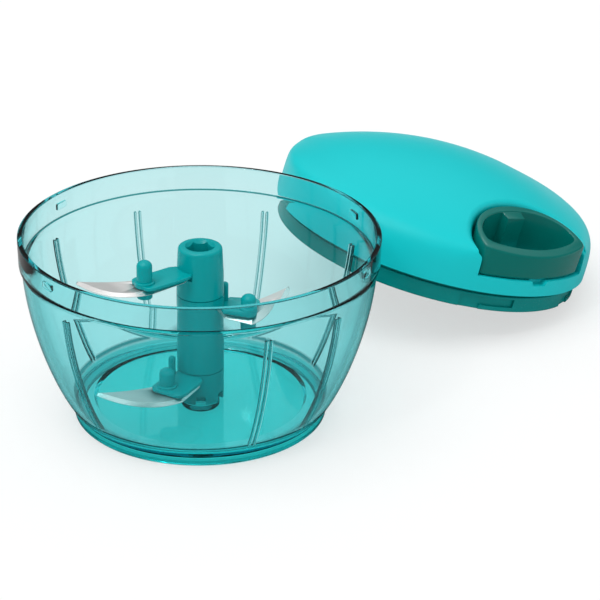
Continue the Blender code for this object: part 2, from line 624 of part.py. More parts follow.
def handle_outline(grow, front_r=None, corner=HANDLE_CORNER, shoulder=HANDLE_SHOULDER):
    """Full bow behind the shoulder line and an arc in front of it, grown by a margin."""
    half = HANDLE_WIDTH / 2 + grow
    depth = shoulder - HANDLE_SHOULDER + HANDLE_BACK + grow
    power = 2 / HANDLE_FULLNESS
    outline = []
    for k in range(HANDLE_SIDES + 1):
        t = math.pi * k / HANDLE_SIDES
        across = math.copysign(abs(math.cos(t)) ** power, math.cos(t))
        outline.append((shoulder - depth * abs(math.sin(t)) ** power, half * across))
    if front_r:
        end_y = half - corner
        reach = math.asin(end_y / front_r)
        end_x = front_r * math.cos(reach)
        turn_x = end_x - corner * math.tan(reach)
        left = bezier([(shoulder, -half), (turn_x, -half), (end_x, -end_y)], 4, include_start=False)
        front = arc(front_r, -math.degrees(reach), math.degrees(reach), 10)[1:-1]
        outline += left + front + [(x, -y) for x, y in left[::-1]]
    return outline


def screw_places():
    turns = [math.radians(angle) for angle in SCREW_ANGLES]
    return [(SCREW_CIRCLE_R * math.cos(turn), SCREW_CIRCLE_R * math.sin(turn)) for turn in turns]


def top_z(x):
    return HANDLE_FRONT_TOP + HANDLE_SLOPE * (HANDLE_FRONT_R - x)


def make_dome(materials, frame):
    dome = add_object("lid_dome", dome_shell(False), materials["turquoise"], frame)
    block_top = DOME_HEIGHT + 1.0 * MM
    block_low = HANDLE_BOTTOM - GAP - POCKET_WALL
    liner_solid = pocket_solid(POCKET_CLEAR + POCKET_WALL, block_low, block_top)
    liner = add_object("liner_tool", liner_solid, parent=frame)
    combine(liner, [add_object("dome_solid_tool", dome_shell(True))], "INTERSECT")

    bosses = [cylinder(SCREW_BOSS_R, BASE_FLOOR_TOP + GAP, DOME_HEIGHT, place) for place in screw_places()]
    boss_tool = add_object("boss_tool", join(*bosses), parent=frame)
    combine(boss_tool, [add_object("dome_solid_tool", dome_shell(True))], "INTERSECT")
    floor = HANDLE_BOTTOM - GAP
    block = bmesh.new()
    bmesh.ops.create_cube(block, size=1.0)
    block_z = (SPIGOT_RISE + GAP, floor - GAP)
    bmesh.ops.scale(block, vec=(*NOTCH_BACK, block_z[1] - block_z[0]), verts=block.verts)
    block_x = DOME_R - DOME_WALL / 2 - NOTCH_BACK[0] / 2 - 0.4 * MM
    bmesh.ops.translate(block, vec=(block_x, 0, sum(block_z) / 2), verts=block.verts)
    combine(dome, [liner, boss_tool, add_object("notch_back_tool", block)], "UNION")

    pocket = pocket_solid(POCKET_CLEAR, floor, block_top + OVERSHOOT)
    notch_outer = DOME_R + OVERSHOOT
    notch = bmesh.new()
    section = [(-NOTCH_FLOOR_WIDTH / 2, floor - NOTCH_DEPTH), (NOTCH_FLOOR_WIDTH / 2, floor - NOTCH_DEPTH),
               (NOTCH_WIDTH / 2, floor + OVERSHOOT), (-NOTCH_WIDTH / 2, floor + OVERSHOOT)]
    face = notch.faces.new([notch.verts.new((DOME_R - NOTCH_REACH, y, z)) for y, z in section])
    pushed = bmesh.ops.extrude_face_region(notch, geom=[face])
    moved = [v for v in pushed["geom"] if isinstance(v, bmesh.types.BMVert)]
    bmesh.ops.translate(notch, vec=(notch_outer - DOME_R + NOTCH_REACH, 0, 0), verts=moved)
    holes = [cylinder(SCREW_R + GAP, BASE_FLOOR_TOP - OVERSHOOT, SCREW_TOP + GAP, place, 12)
             for place in screw_places()]
    eyelet_hole = cylinder(EYELET_R + GAP, -5 * MM, 5 * MM, steps=SMALL_STEPS)
    bmesh.ops.rotate(eyelet_hole, matrix=Matrix.Rotation(math.pi / 2, 3, "Y"), verts=eyelet_hole.verts)
    bmesh.ops.translate(eyelet_hole, vec=(POCKET_BACK, 0, CORD_Z), verts=eyelet_hole.verts)
    cuts = [add_object("pocket_tool", pocket), add_object("notch_tool", notch),
            add_object("screw_hole_tool", join(*holes)), add_object("eyelet_hole_tool", eyelet_hole)]
    combine(dome, cuts, "DIFFERENCE")


def pocket_solid(grow, low, high):
    """Pocket shape grown by a margin, open to the front, its walls leaning out towards the crown."""
    levels = []
    share = (high - POCKET_FLARE_Z) / (DOME_HEIGHT - POCKET_FLARE_Z)
    for z, flare in ((low, 0.0), (POCKET_FLARE_Z, 0.0), (high, POCKET_FLARE * share)):
        outline = handle_outline(grow + flare)
        outline += [(DOME_R + 5 * MM, outline[-1][1]), (DOME_R + 5 * MM, outline[0][1])]
        levels.append([(x, y, z) for x, y in outline])
    bm = bmesh.new()
    rows = [[bm.verts.new(p) for p in level] for level in levels]
    bm.faces.new(rows[0][::-1])
    bm.faces.new(rows[-1])
    for one, two in zip(rows, rows[1:]):
        for k in range(len(one)):
            bm.faces.new((one[k - 1], one[k], two[k], two[k - 1]))
    return bm


def make_base(materials, frame):
    inner = RING_R - RING_WALL
    low, floor_low = -RING_HEIGHT, BASE_FLOOR_TOP - BASE_FLOOR
    spigot_out = DOME_R - DOME_WALL - GAP
    spigot_in = spigot_out - SPIGOT_WALL
    step_r, step_z = RING_R - SHADOW_STEP[0], -SHADOW_STEP[1]
    bore = JOURNAL_R + RUN
    profile = [(inner, low), (RING_R - 0.5 * MM, low), (RING_R, low + 0.5 * MM), (RING_R, step_z),
               (step_r, step_z), (step_r, -GAP), (spigot_out, -GAP),
               (spigot_out, SPIGOT_RISE), (spigot_in, SPIGOT_RISE),
               (spigot_in, BASE_FLOOR_TOP), (bore, BASE_FLOOR_TOP), (bore, floor_low), (inner, floor_low)]
    base = add_object("lid_base", turned(profile), materials["ring_teal"], frame)
    cuts = []
    for azimuth in LUG_AZIMUTHS:
        entry = bmesh.new()
        bmesh.ops.create_cube(entry, size=1.0)
        height = GROOVE_Z + GROOVE_HEIGHT / 2 - low
        bmesh.ops.scale(entry, vec=(2 * GROOVE_DEPTH, GROOVE_ENTRY, height + OVERSHOOT), verts=entry.verts)
        bmesh.ops.translate(entry, vec=(RING_R, 0, low + (height - OVERSHOOT) / 2), verts=entry.verts)
        bmesh.ops.rotate(entry, matrix=Matrix.Rotation(math.radians(azimuth), 3, "Z"), verts=entry.verts)
        start = azimuth + math.degrees(GROOVE_ENTRY / 2 / RING_R) - 1
        outline = arc(RING_R + OVERSHOOT, start, start + GROOVE_RUN_DEG, 6)
        outline += arc(RING_R - GROOVE_DEPTH, start + GROOVE_RUN_DEG, start, 6)
        run = prism(outline, GROOVE_Z - GROOVE_HEIGHT / 2, GROOVE_Z + GROOVE_HEIGHT / 2)
        cuts += [add_object("entry_tool", entry), add_object("groove_tool", run)]
    holes = [cylinder(SCREW_R + GAP, floor_low - OVERSHOOT, BASE_FLOOR_TOP + OVERSHOOT, place, 12)
             for place in screw_places()]
    cuts.append(add_object("base_hole_tool", join(*holes)))
    combine(base, cuts, "DIFFERENCE")
    head_top = floor_low - GAP
    for number, place in enumerate(screw_places(), 1):
        profile = [(0.0, head_top - SCREW_HEAD), (SCREW_HEAD_R - 0.4 * MM, head_top - SCREW_HEAD),
                   (SCREW_HEAD_R, head_top - SCREW_HEAD + 0.5 * MM), (SCREW_HEAD_R, head_top),
                   (SCREW_R, head_top), (SCREW_R, SCREW_TOP - 1.0 * MM), (0.0, SCREW_TOP)]
        screw = turned(profile, 16)
        bmesh.ops.translate(screw, vec=(*place, 0.0), verts=screw.verts)
        add_object("screw_%d" % number, screw, materials["steel"], frame)


def make_handle(materials, frame):
    """Loop with a sloping top face, and a thicker anchor for the cord inside its back."""
    block_top = top_z(HANDLE_SHOULDER - HANDLE_BACK) + 1.0 * MM
    outline = handle_outline(0.0, front_r=HANDLE_FRONT_R)
    handle = add_object("pull_handle", prism(outline, HANDLE_BOTTOM, block_top), materials["dark_green"], frame)
    hole = handle_outline(-HANDLE_WALL, HANDLE_FRONT_R - HANDLE_FRONT_WALL, OPENING_CORNER,
                          HANDLE_SHOULDER - OPENING_CORNER / 2)
    back = HANDLE_SHOULDER - HANDLE_BACK
    keep = back + HANDLE_WALL + ANCHOR_DEPTH
    anchor_half = ANCHOR_WIDTH / 2
    shaped = []
    for x, y in hole:
        if abs(y) < anchor_half and x < HANDLE_SHOULDER:
            x = max(x, keep)
        shaped.append((x, y))
    opening = prism(shaped, HANDLE_BOTTOM - OVERSHOOT, block_top + OVERSHOOT)
    slice_bm = bmesh.new()
    near, far = back - 4 * MM, HANDLE_FRONT_R + 4 * MM
    corners = [(near, top_z(near)), (far, top_z(far)), (far, block_top + 9 * MM), (near, block_top + 9 * MM)]
    face = slice_bm.faces.new([slice_bm.verts.new((x, -HANDLE_WIDTH, z)) for x, z in corners])
    pushed = bmesh.ops.extrude_face_region(slice_bm, geom=[face])
    moved = [v for v in pushed["geom"] if isinstance(v, bmesh.types.BMVert)]
    bmesh.ops.translate(slice_bm, vec=(0, 2 * HANDLE_WIDTH, 0), verts=moved)
    cord_hole = cylinder(CORD_R + GAP, -6 * MM, 6 * MM, steps=12)
    bmesh.ops.rotate(cord_hole, matrix=Matrix.Rotation(math.pi / 2, 3, "Y"), verts=cord_hole.verts)
    bmesh.ops.translate(cord_hole, vec=(back - 4 * MM, 0, CORD_Z), verts=cord_hole.verts)
    pocket_x = back + ANCHOR_BACK_WALL
    depth, width = ANCHOR_POCKET
    floor_plan = [(pocket_x, -width / 2), (pocket_x + depth, -width / 2),
                  (pocket_x + depth, width / 2), (pocket_x, width / 2)]
    stop_pocket = prism(floor_plan, HANDLE_BOTTOM - OVERSHOOT, ANCHOR_POCKET_TOP)
    cuts = [add_object("opening_tool", opening), add_object("slope_tool", slice_bm),
            add_object("cord_hole_tool", cord_hole), add_object("stop_pocket_tool", stop_pocket)]
    combine(handle, cuts, "DIFFERENCE")


def round_bar(name, points, radius, material, parent):
    """Round cord through the given points, as a closed tube."""
    curve = bpy.data.curves.new(name, "CURVE")
    curve.dimensions = "3D"
    curve.bevel_depth = radius
    curve.bevel_resolution = 2
    curve.use_fill_caps = True
    spline = curve.splines.new("POLY")
    spline.points.add(len(points) - 1)
    for point, place in zip(spline.points, points):
        point.co = (*place, 1.0)
    item = bpy.data.objects.new(name, curve)
    item.parent = parent
    curve.materials.append(material)
    bpy.context.scene.collection.objects.link(item)


def make_cord(materials, frame):
    """Cord wound on the drum, its run to the eyelet, and its end knotted inside the handle."""
    outer = DRUM_CORE_R + GAP + 2 * CORD_R
    low, high = DRUM_BOTTOM + DRUM_FLANGE + GAP, DRUM_TOP - DRUM_FLANGE - GAP
    winding = [(DRUM_CORE_R + GAP, low), (outer, low), (outer, high), (DRUM_CORE_R + GAP, high)]
    add_object("cord_winding", turned(winding, MEDIUM_STEPS), materials["cord"], frame)

    radius = outer + GAP + CORD_R
    exit_x = POCKET_BACK - POCKET_WALL - EYELET_FLANGE
    straight_x = exit_x - 2.0 * MM
    bend = (straight_x - 2.5 * MM, -0.1 * MM)
    leave = math.atan2(bend[1], bend[0]) - math.acos(radius / math.hypot(*bend))
    start = (radius * math.cos(leave), radius * math.sin(leave))
    route = bezier([start, bend, (straight_x, 0.0)], 12) + [(POCKET_BACK, 0.0)]
    round_bar("cord_run", [(x, y, CORD_Z) for x, y in route], CORD_R, materials["cord"], frame)

    seat = HANDLE_SHOULDER - HANDLE_BACK + ANCHOR_BACK_WALL
    begin = POCKET_BACK + GAP
    end = seat
    tail = [(begin + (end - begin) * k / 4, 0.0, CORD_Z) for k in range(5)]
    round_bar("cord_end", tail, CORD_R, materials["cord"], frame)
    knot = bmesh.new()
    bmesh.ops.create_icosphere(knot, subdivisions=2, radius=KNOT_R)
    bmesh.ops.translate(knot, vec=(end + GAP + KNOT_R, 0, CORD_Z), verts=knot.verts)
    add_object("cord_knot", knot, materials["cord"], frame)

    inner, outer_x = -POCKET_WALL - GAP, GAP
    eyelet = [(EYELET_BORE, inner - EYELET_FLANGE), (EYELET_FLANGE_R, inner - EYELET_FLANGE),
              (EYELET_FLANGE_R, inner), (EYELET_R, inner), (EYELET_R, outer_x), (EYELET_BORE, outer_x)]
    bm = turned(eyelet, SMALL_STEPS)
    bmesh.ops.rotate(bm, matrix=Matrix.Rotation(math.pi / 2, 3, "Y"), verts=bm.verts)
    bmesh.ops.translate(bm, vec=(POCKET_BACK, 0, CORD_Z), verts=bm.verts)
    add_object("cord_eyelet", bm, materials["steel"], frame)


def make_drive(materials, frame):
    """Drum keyed to the drive shaft, and the recoil spring under its cover."""
    cup_r = DRUM_CORE_R - DRUM_WALL
    web_top = DRUM_BOTTOM + DRUM_WEB
    drum_profile = [(0.0, DRUM_BOTTOM), (DRUM_R, DRUM_BOTTOM), (DRUM_R, DRUM_BOTTOM + DRUM_FLANGE),
                    (DRUM_CORE_R, DRUM_BOTTOM + DRUM_FLANGE), (DRUM_CORE_R, DRUM_TOP - DRUM_FLANGE),
                    (DRUM_R, DRUM_TOP - DRUM_FLANGE), (DRUM_R, DRUM_TOP), (cup_r, DRUM_TOP),
                    (cup_r, web_top), (0.0, web_top)]
    drum = add_object("cord_drum", turned(drum_profile, MEDIUM_STEPS), materials["white_nylon"], frame)
    keyway = prism(hexagon(KEY_FLATS + 2 * GAP), DRUM_BOTTOM - OVERSHOOT, web_top + OVERSHOOT)
    combine(drum, [add_object("keyway_tool", keyway)], "DIFFERENCE")

    spring_low = web_top + GAP
    inner_r, outer_r = ARBOR_R + GAP + SPRING_STRIP / 2, cup_r - GAP - SPRING_STRIP / 2
    steps = SPRING_TURNS * SPRING_STEPS
    bm = bmesh.new()
    rails = []
    for z in (spring_low, spring_low + SPRING_HEIGHT):
        for side in (-SPRING_STRIP / 2, SPRING_STRIP / 2):
            rail = []
            for k in range(steps + 1):
                angle = 2 * math.pi * SPRING_TURNS * k / steps
                radius = inner_r + (outer_r - inner_r) * k / steps + side
                rail.append(bm.verts.new((radius * math.cos(angle), radius * math.sin(angle), z)))
            rails.append(rail)
    a, b, c, d = rails
    for k in range(steps):
        for one, two in ((a, b), (b, d), (d, c), (c, a)):
            bm.faces.new((one[k], one[k + 1], two[k + 1], two[k]))
    bm.faces.new((a[0], b[0], d[0], c[0]))
    bm.faces.new((a[-1], b[-1], d[-1], c[-1]))
    add_object("recoil_spring", bm, materials["steel"], frame)

    cover_low = DRUM_TOP + GAP
    cover_top = cover_low + COVER_THICKNESS
    tube_low = web_top + GAP
    hollow = SPINDLE_R + RUN
    cover_profile = [(hollow, tube_low), (ARBOR_R, tube_low), (ARBOR_R, cover_low), (COVER_R, cover_low),
                     (COVER_R, cover_top), (hollow, cover_top)]
    cover = add_object("spring_cover", turned(cover_profile, MEDIUM_STEPS), materials["white_nylon"], frame)
    tools = []
    for angle in LEG_ANGLES:
        turn = Matrix.Rotation(math.radians(angle), 3, "Z")
        ear = bmesh.new()
        bmesh.ops.create_cube(ear, size=1.0)
        reach = LEG_CIRCLE_R - COVER_R + 6 * MM
        ear_at = (LEG_CIRCLE_R - reach / 2, 0, (cover_low + cover_top) / 2)
        bmesh.ops.scale(ear, vec=(reach, 2 * LEG_R, COVER_THICKNESS), verts=ear.verts)
        bmesh.ops.translate(ear, vec=ear_at, verts=ear.verts)
        bmesh.ops.rotate(ear, matrix=turn, verts=ear.verts)
        leg_top = cover_top + 0.3 * MM
        leg = cylinder(LEG_R + 0.3 * MM, BASE_FLOOR_TOP + GAP, leg_top, (LEG_CIRCLE_R, 0), 16)
        bmesh.ops.rotate(leg, matrix=turn, verts=leg.verts)
        tools += [add_object("ear_tool", ear), add_object("leg_tool", leg)]
    combine(cover, tools, "UNION")

    make_shaft(materials, frame)


def make_shaft(materials, frame):
    tip = -RING_HEIGHT - SHAFT_PROUD
    hub_top = DRUM_BOTTOM - GAP
    key_top = DRUM_BOTTOM + DRUM_WEB - GAP
    journal_low = BASE_FLOOR_TOP - BASE_FLOOR - GAP - WASHER_THICKNESS - GAP
    hub = [(0.0, journal_low), (JOURNAL_R, journal_low), (JOURNAL_R, HUB_BOTTOM), (HUB_R, HUB_BOTTOM),
           (HUB_R, hub_top), (0.0, hub_top)]
    shaft = add_object("drive_shaft", turned(hub, MEDIUM_STEPS), materials["white_nylon"], frame)
    spindle = cylinder(SPINDLE_R, key_top - 0.5 * MM, SPINDLE_TOP, steps=SMALL_STEPS)
    key = prism(hexagon(KEY_FLATS), hub_top - 0.5 * MM, key_top)
    tip_hexagon = prism(hexagon(SHAFT_FLATS), tip, journal_low + 0.5 * MM)
    tools = [add_object("key_tool", key), add_object("spindle_tool", spindle),
             add_object("hexagon_tool", tip_hexagon)]
    combine(shaft, tools, "UNION")

    washer_top = BASE_FLOOR_TOP - BASE_FLOOR - GAP
    outline = arc(WASHER_R, 25, 335, 24) + arc(JOURNAL_R + GAP, 335, 25, 24)
    washer = prism(outline, washer_top - WASHER_THICKNESS, washer_top)
    add_object("shaft_clip", washer, materials["steel"], frame)


def make_lid(materials):
    frame = bpy.data.objects.new("lid_frame", None)
    bpy.context.scene.collection.objects.link(frame)
    frame.matrix_world = lid_matrix()
    make_dome(materials, frame)
    make_base(materials, frame)
    make_handle(materials, frame)
    make_cord(materials, frame)
    make_drive(materials, frame)


clear_scene()
MATERIALS = {name: make_material(name) for name in COLOURS}
make_bowl(MATERIALS)
make_blade_unit(MATERIALS)
make_lid(MATERIALS)
bpy.context.view_layer.update()
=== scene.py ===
"""Looks of the pull-cord food chopper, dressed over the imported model.

The bowl stands at the origin with the blade unit on its pin. The lid lies beside it,
tilted on the edge of its ring and the tip of its drive shaft.
"""
from math import acos, asin, atan2, comb, copysign, cos, degrees, hypot, pi, radians, sin, sqrt, tan

import bmesh
import bpy
from mathutils import Matrix, Vector


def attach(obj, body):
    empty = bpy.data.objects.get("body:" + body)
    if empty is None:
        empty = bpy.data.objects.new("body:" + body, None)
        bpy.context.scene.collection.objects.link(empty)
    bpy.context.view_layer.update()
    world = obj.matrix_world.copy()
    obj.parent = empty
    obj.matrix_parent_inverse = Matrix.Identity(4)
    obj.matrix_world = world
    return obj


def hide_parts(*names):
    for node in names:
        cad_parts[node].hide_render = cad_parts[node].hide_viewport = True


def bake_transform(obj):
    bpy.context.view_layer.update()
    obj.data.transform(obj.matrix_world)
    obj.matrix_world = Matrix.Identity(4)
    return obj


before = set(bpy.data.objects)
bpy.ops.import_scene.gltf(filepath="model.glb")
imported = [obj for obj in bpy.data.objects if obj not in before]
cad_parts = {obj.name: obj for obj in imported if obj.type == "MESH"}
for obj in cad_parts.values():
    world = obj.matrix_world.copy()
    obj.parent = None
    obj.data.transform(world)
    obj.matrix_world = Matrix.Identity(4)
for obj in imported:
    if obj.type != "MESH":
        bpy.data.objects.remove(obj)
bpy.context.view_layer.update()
MM = 0.001
TAU = 2 * pi


# Camera
# A long lens 0.7 m in front of the bowl, looking down at it by 25 degrees,
# and turned by a degree in its mount as the photograph is.
CAMERA_PLACE = Vector((0.0, -0.700, 0.3653))
CAMERA_PITCH = 0.4347
CAMERA_YAW = 0.048
CAMERA_ROLL = 0.0165
PICTURE_WIDTH = 600                 # pixels
FOCAL_PIXELS = 2289.4
SENSOR_WIDTH = 36.0                 # millimetres

scene = bpy.context.scene


def add_object(name, data):
    thing = bpy.data.objects.new(name, data)
    scene.collection.objects.link(thing)
    return thing


camera = add_object("camera", bpy.data.cameras.new("camera"))
camera.data.sensor_width = SENSOR_WIDTH
camera.data.lens = FOCAL_PIXELS / PICTURE_WIDTH * SENSOR_WIDTH
ahead = Vector((sin(CAMERA_YAW) * cos(CAMERA_PITCH),
                cos(CAMERA_YAW) * cos(CAMERA_PITCH), -sin(CAMERA_PITCH)))
level = Vector((cos(CAMERA_YAW), -sin(CAMERA_YAW), 0.0))
upward = level.cross(ahead)
rightward = level * cos(CAMERA_ROLL) + upward * sin(CAMERA_ROLL)
upward = upward * cos(CAMERA_ROLL) - level * sin(CAMERA_ROLL)
turned_axes = Matrix((rightward, upward, -ahead)).transposed().to_4x4()
camera.matrix_world = Matrix.Translation(CAMERA_PLACE) @ turned_axes
scene.camera = camera
scene.view_settings.view_transform = "Standard"


# Studio
# A white sweep of paper under an even sky, with a large soft lamp and a small one above and to the
# left. The camera sees it all white. Clear plastic sees dim walls below a white ceiling, which draw
# dark lines along its edges, and gloss sees a room that is dimmer still.
class Value:
    """The output of a node, with the sums that a shader needs."""

    def __init__(self, tree, socket):
        self.tree = tree
        self.socket = socket

    def sum(self, operation, *others):
        node = self.tree.nodes.new("ShaderNodeMath")
        node.operation = operation
        for entry, value in zip(node.inputs, (self, *others)):
            feed(entry, value)
        return Value(self.tree, node.outputs[0])

    def __add__(self, other):
        return self.sum("ADD", other)

    def __sub__(self, other):
        return self.sum("SUBTRACT", other)

    def __rsub__(self, other):
        return self.sum("MULTIPLY", -1.0).sum("ADD", other)

    def __mul__(self, other):
        return self.sum("MULTIPLY", other)

    __radd__ = __add__
    __rmul__ = __mul__


def feed(entry, value):
    """Link a value to a node's input, or write a number or colour there."""
    if isinstance(value, Value):
        value.tree.links.new(value.socket, entry)
    else:
        entry.default_value = value


class Nodes:
    """A node tree that nodes are added to, one call at a time."""

    def __init__(self, owner):
        owner.use_nodes = True
        self.tree = owner.node_tree

    def add(self, kind, settings, inputs, output=0):
        node = self.tree.nodes.new("ShaderNode" + kind)
        for name, value in settings.items():
            setattr(node, name, value)
        for name, value in inputs.items():
            feed(node.inputs[name], value)
        return Value(self.tree, node.outputs[output])

    def place(self):
        return self.add("TexCoord", {}, {}, "Object")

    def axis(self, name, source="Object"):
        """One coordinate of the place, or of the way a ray goes in the sky."""
        return self.add("SeparateXYZ", {}, {"Vector": self.add("TexCoord", {}, {}, source)}, name)

    def ramp(self, value, low, high, first=0.0, last=1.0, kind="LINEAR"):
        """From the first number to the last while a value goes from low to high."""
        return self.add("MapRange", {"interpolation_type": kind}, {
            "Value": value, "From Min": low, "From Max": high, "To Min": first, "To Max": last})

    def noise(self, scale, detail=2.0, vector=None):
        """Soft blotches from 0 to 1, scale of them to a metre."""
        return self.add("TexNoise", {}, {"Vector": vector or self.place(), "Scale": scale, "Detail": detail})

    def mix(self, factor, first, second):
        return self.add("Mix", {"data_type": "RGBA"}, {0: factor, 6: first, 7: second}, 2)

    def bump(self, height, distance, strength=1.0):
        return self.add("Bump", {}, {"Height": height, "Distance": distance, "Strength": strength})


class Finish(Nodes):
    """A material, and the call that feeds its shader."""

    def __init__(self, name):
        self.material = bpy.data.materials.new(name)
        super().__init__(self.material)
        self.shader = self.tree.nodes["Principled BSDF"]

    def paint(self, **inputs):
        """Feed the main shader: an input's name is written with _ for a space."""
        for name, value in inputs.items():
            feed(self.shader.inputs[name.replace("_", " ")], value)


def srgb(red, green, blue):
    """A colour read off the photograph, 0 to 255, as the shader's linear colour."""
    channels = []
    for part in (red / 255, green / 255, blue / 255):
        channels.append(part / 12.92 if part <= 0.04045 else ((part + 0.055) / 1.055) ** 2.4)
    return (*channels, 1.0)


FLOOR_HALF = 2.5
FLOOR_DROP = 0.2 * MM
PAPER = 0.80
DIRECT_GLOW = 0.60                  # share of the paper's white that no shadow takes away
THROUGH_GLOW = 0.58                 # and the same as clear plastic sees it
THROUGH_PAPER = 0.32                # over a paper of this white
GLOSS_PAPER = 0.10                  # the paper in front of the object, as gloss sees it
GLOSS_BEHIND = 0.85                 # and behind it
GLOSS_FRONT_Y = -0.02
GLOSS_BEHIND_Y = 0.30
SKY_LIGHT = 0.62
THROUGH_WALLS = (0.05, 0.34, 0.40)  # sines of the heights where dim walls end, and their light
GLOSS_WALLS = (0.30, 0.85, 0.08)    # and the same as gloss sees them
LAMPS = (("soft_lamp", 1.20, 50, (11, -14)),    # light, then spread and tilt in degrees
         ("glint_lamp", 0.25, 7, (30, -30)))


def ray_kinds(tree):
    """1 or 0 for: the camera's own rays, those through clear plastic, and those off a glossy skin."""
    path = tree.nodes.new("ShaderNodeLightPath")
    direct, through, glossy = (Value(tree, path.outputs["Is %s Ray" % kind])
                               for kind in ("Camera", "Transmission", "Glossy"))
    return direct, through, glossy * (1.0 - through)


def grey(level):
    return (level, level, level, 1.0)


paper = Finish("studio_paper")
direct, through, gloss = ray_kinds(paper.tree)
glow = paper.mix(through, grey(0.0), grey(THROUGH_GLOW))
behind = paper.ramp(paper.axis("Y"), GLOSS_FRONT_Y, GLOSS_BEHIND_Y, kind="SMOOTHSTEP")
shade = paper.mix(through, grey(PAPER), grey(THROUGH_PAPER))
shade = paper.mix(gloss, shade, paper.mix(behind, grey(GLOSS_PAPER), grey(GLOSS_BEHIND)))
paper.paint(Base_Color=paper.mix(direct, shade, grey(1.0 - DIRECT_GLOW)), Roughness=0.9,
            Specular_IOR_Level=0.0, Emission_Strength=1.0,
            Emission_Color=paper.mix(direct, glow, grey(DIRECT_GLOW)))
floor_mesh = bmesh.new()
bmesh.ops.create_grid(floor_mesh, x_segments=1, y_segments=1, size=FLOOR_HALF)
bmesh.ops.translate(floor_mesh, vec=(0.0, 0.0, -FLOOR_DROP), verts=floor_mesh.verts)
floor = add_object("floor", bpy.data.meshes.new("floor"))
floor_mesh.to_mesh(floor.data)
floor.data.materials.append(paper.material)

scene.world = bpy.data.worlds.new("sky")
sky = Nodes(scene.world)
direct, through, gloss = ray_kinds(sky.tree)
height = sky.axis("Z", "Generated")
walls = [sky.ramp(height, low, high, dim, 1.0, "SMOOTHSTEP")
         for low, high, dim in (THROUGH_WALLS, GLOSS_WALLS)]
background = sky.tree.nodes["Background"]
others = 1.0 - direct - through - gloss
feed(background.inputs["Strength"], direct + through * walls[0] + gloss * walls[1] + others * SKY_LIGHT)
feed(background.inputs["Color"], (1.0, 1.0, 1.0, 1.0))

for name, energy, spread, tilt in LAMPS:
    lamp = add_object(name, bpy.data.lights.new(name, "SUN"))
    lamp.data.energy = energy
    lamp.data.angle = radians(spread)
    lamp.rotation_euler = (*map(radians, tilt), 0.0)


# Bowl
# One injection-moulded shell of clear teal plastic: a foot ring, a wall that swells up to a
# stepped collar, seven thin ribs inside and four lugs that the lid's grooves turn over.
BOWL_STEPS = 192
RIM_R = 60.5 * MM
RIM_Z = 65.0 * MM
COLLAR_Z = RIM_Z - 9.2 * MM
COLLAR_STEP = 1.1 * MM
COLLAR_LEDGE = 0.5 * MM             # flat part of the step, the rest of which slopes
COLLAR_TAPER = 0.2 * MM             # narrowing of the collar's outside towards its step
LEDGE_SHARE = 0.30                  # of the slope below the inner ledge, as dark as the ledge
LEDGE_FADE = 0.06                   # and the share over which that ends
RIM_ROUND = 0.3 * MM
BOWL_WALL = 1.8 * MM
FOOT_R = 43.0 * MM
FOOT_HEIGHT = 3.6 * MM
FOOT_WIDTH = 3.0 * MM
FLOOR_TOP_Z = 4.2 * MM
FLOOR_UNDERSIDE_Z = 2.2 * MM
FLOOR_RING = ((36.6 * MM, 1.2 * MM), (36.0 * MM, 0.6 * MM), (35.6 * MM, 0.0))  # radii, heights on the floor
BELLY_LOW = (FOOT_R + 5.5 * MM, 9.5 * MM)
BELLY_HIGH = (RIM_R - 2.1 * MM, 33.0 * MM)
BOSS_R = 6.5 * MM
RIB_AZIMUTHS = (23, 66, 113, 151, 222, 292, 320)
RIB_WIDTH = 2.6 * MM
RIDGE_WIDTH = 0.9 * MM              # each rib is a pair of thin ridges
RIDGE_ROUND = 0.45 * MM
RIB_DEPTH = 1.2 * MM
RIB_SINK = 0.6 * MM                 # into the wall
RIB_FOOT_Z = FLOOR_TOP_Z + 1.0 * MM
RIB_TOP_Z = COLLAR_Z - 2.8 * MM
LUG_AZIMUTHS = (25, 145, 215, 335)
LUG_SIZE = (1.6 * MM, 5.2 * MM, 2.4 * MM)       # of which half the depth is inside the wall
LUG_ROUND = 0.5 * MM
LUG_Z = RIM_Z - 4.2 * MM
PIN_R = 2.5 * MM
PIN_SEAT_Z = 0.9 * MM
FIT = 0.3 * MM                      # gap between pieces that fit into each other
PAST = 1.0 * MM                     # how far a cutting shape reaches past what it cuts
JOIN, CUT, KEEP = "UNION", "DIFFERENCE", "INTERSECT"
MERGE_DISTANCE = 4e-6               # closer points are leftovers of a cut
SAME_POINT = 1e-7
SHARP_ANGLE = 38                    # degrees between faces from which an edge stays sharp
SKIN_TINT = srgb(240, 251, 252)     # what the plastic takes out at each wall
GRAZING_TINT = srgb(112, 200, 202)  # and where the wall is seen along its skin
GRAZING_FROM = 0.50
EDGE_TINT = srgb(12, 96, 100)       # on ridges and ledges, which show the wall from end to end
CREST_SHARE = 0.45                  # of that tint on the flat crest of a ridge
RIDGE_RISES = (0.1, 0.9)            # shares of a ridge's depth at which it starts, and its crest does
RIM_BAND = (0.25 * MM, 0.01 * MM)   # depths below the rim between which its outer edge is marked
ZONES = (                           # the tint changes between two heights: at the floor, which is seen
    (FLOOR_TOP_Z + 1.0 * MM, FLOOR_TOP_Z + 0.2 * MM, srgb(86, 232, 231)),  # over its own reflection,
    (FLOOR_UNDERSIDE_Z - 0.1 * MM, FLOOR_UNDERSIDE_Z - 0.4 * MM, srgb(40, 175, 175)),  # in the foot ring,
    (RIM_Z - 0.4 * MM, RIM_Z - 0.1 * MM, srgb(185, 218, 222)))  # and at the rim, which shines from within
DEEP_TINT = (0.06, 0.90, 0.92, 1.0)
TINT_DEPTH = 195.0                  # share of the rest taken out per metre on the way through


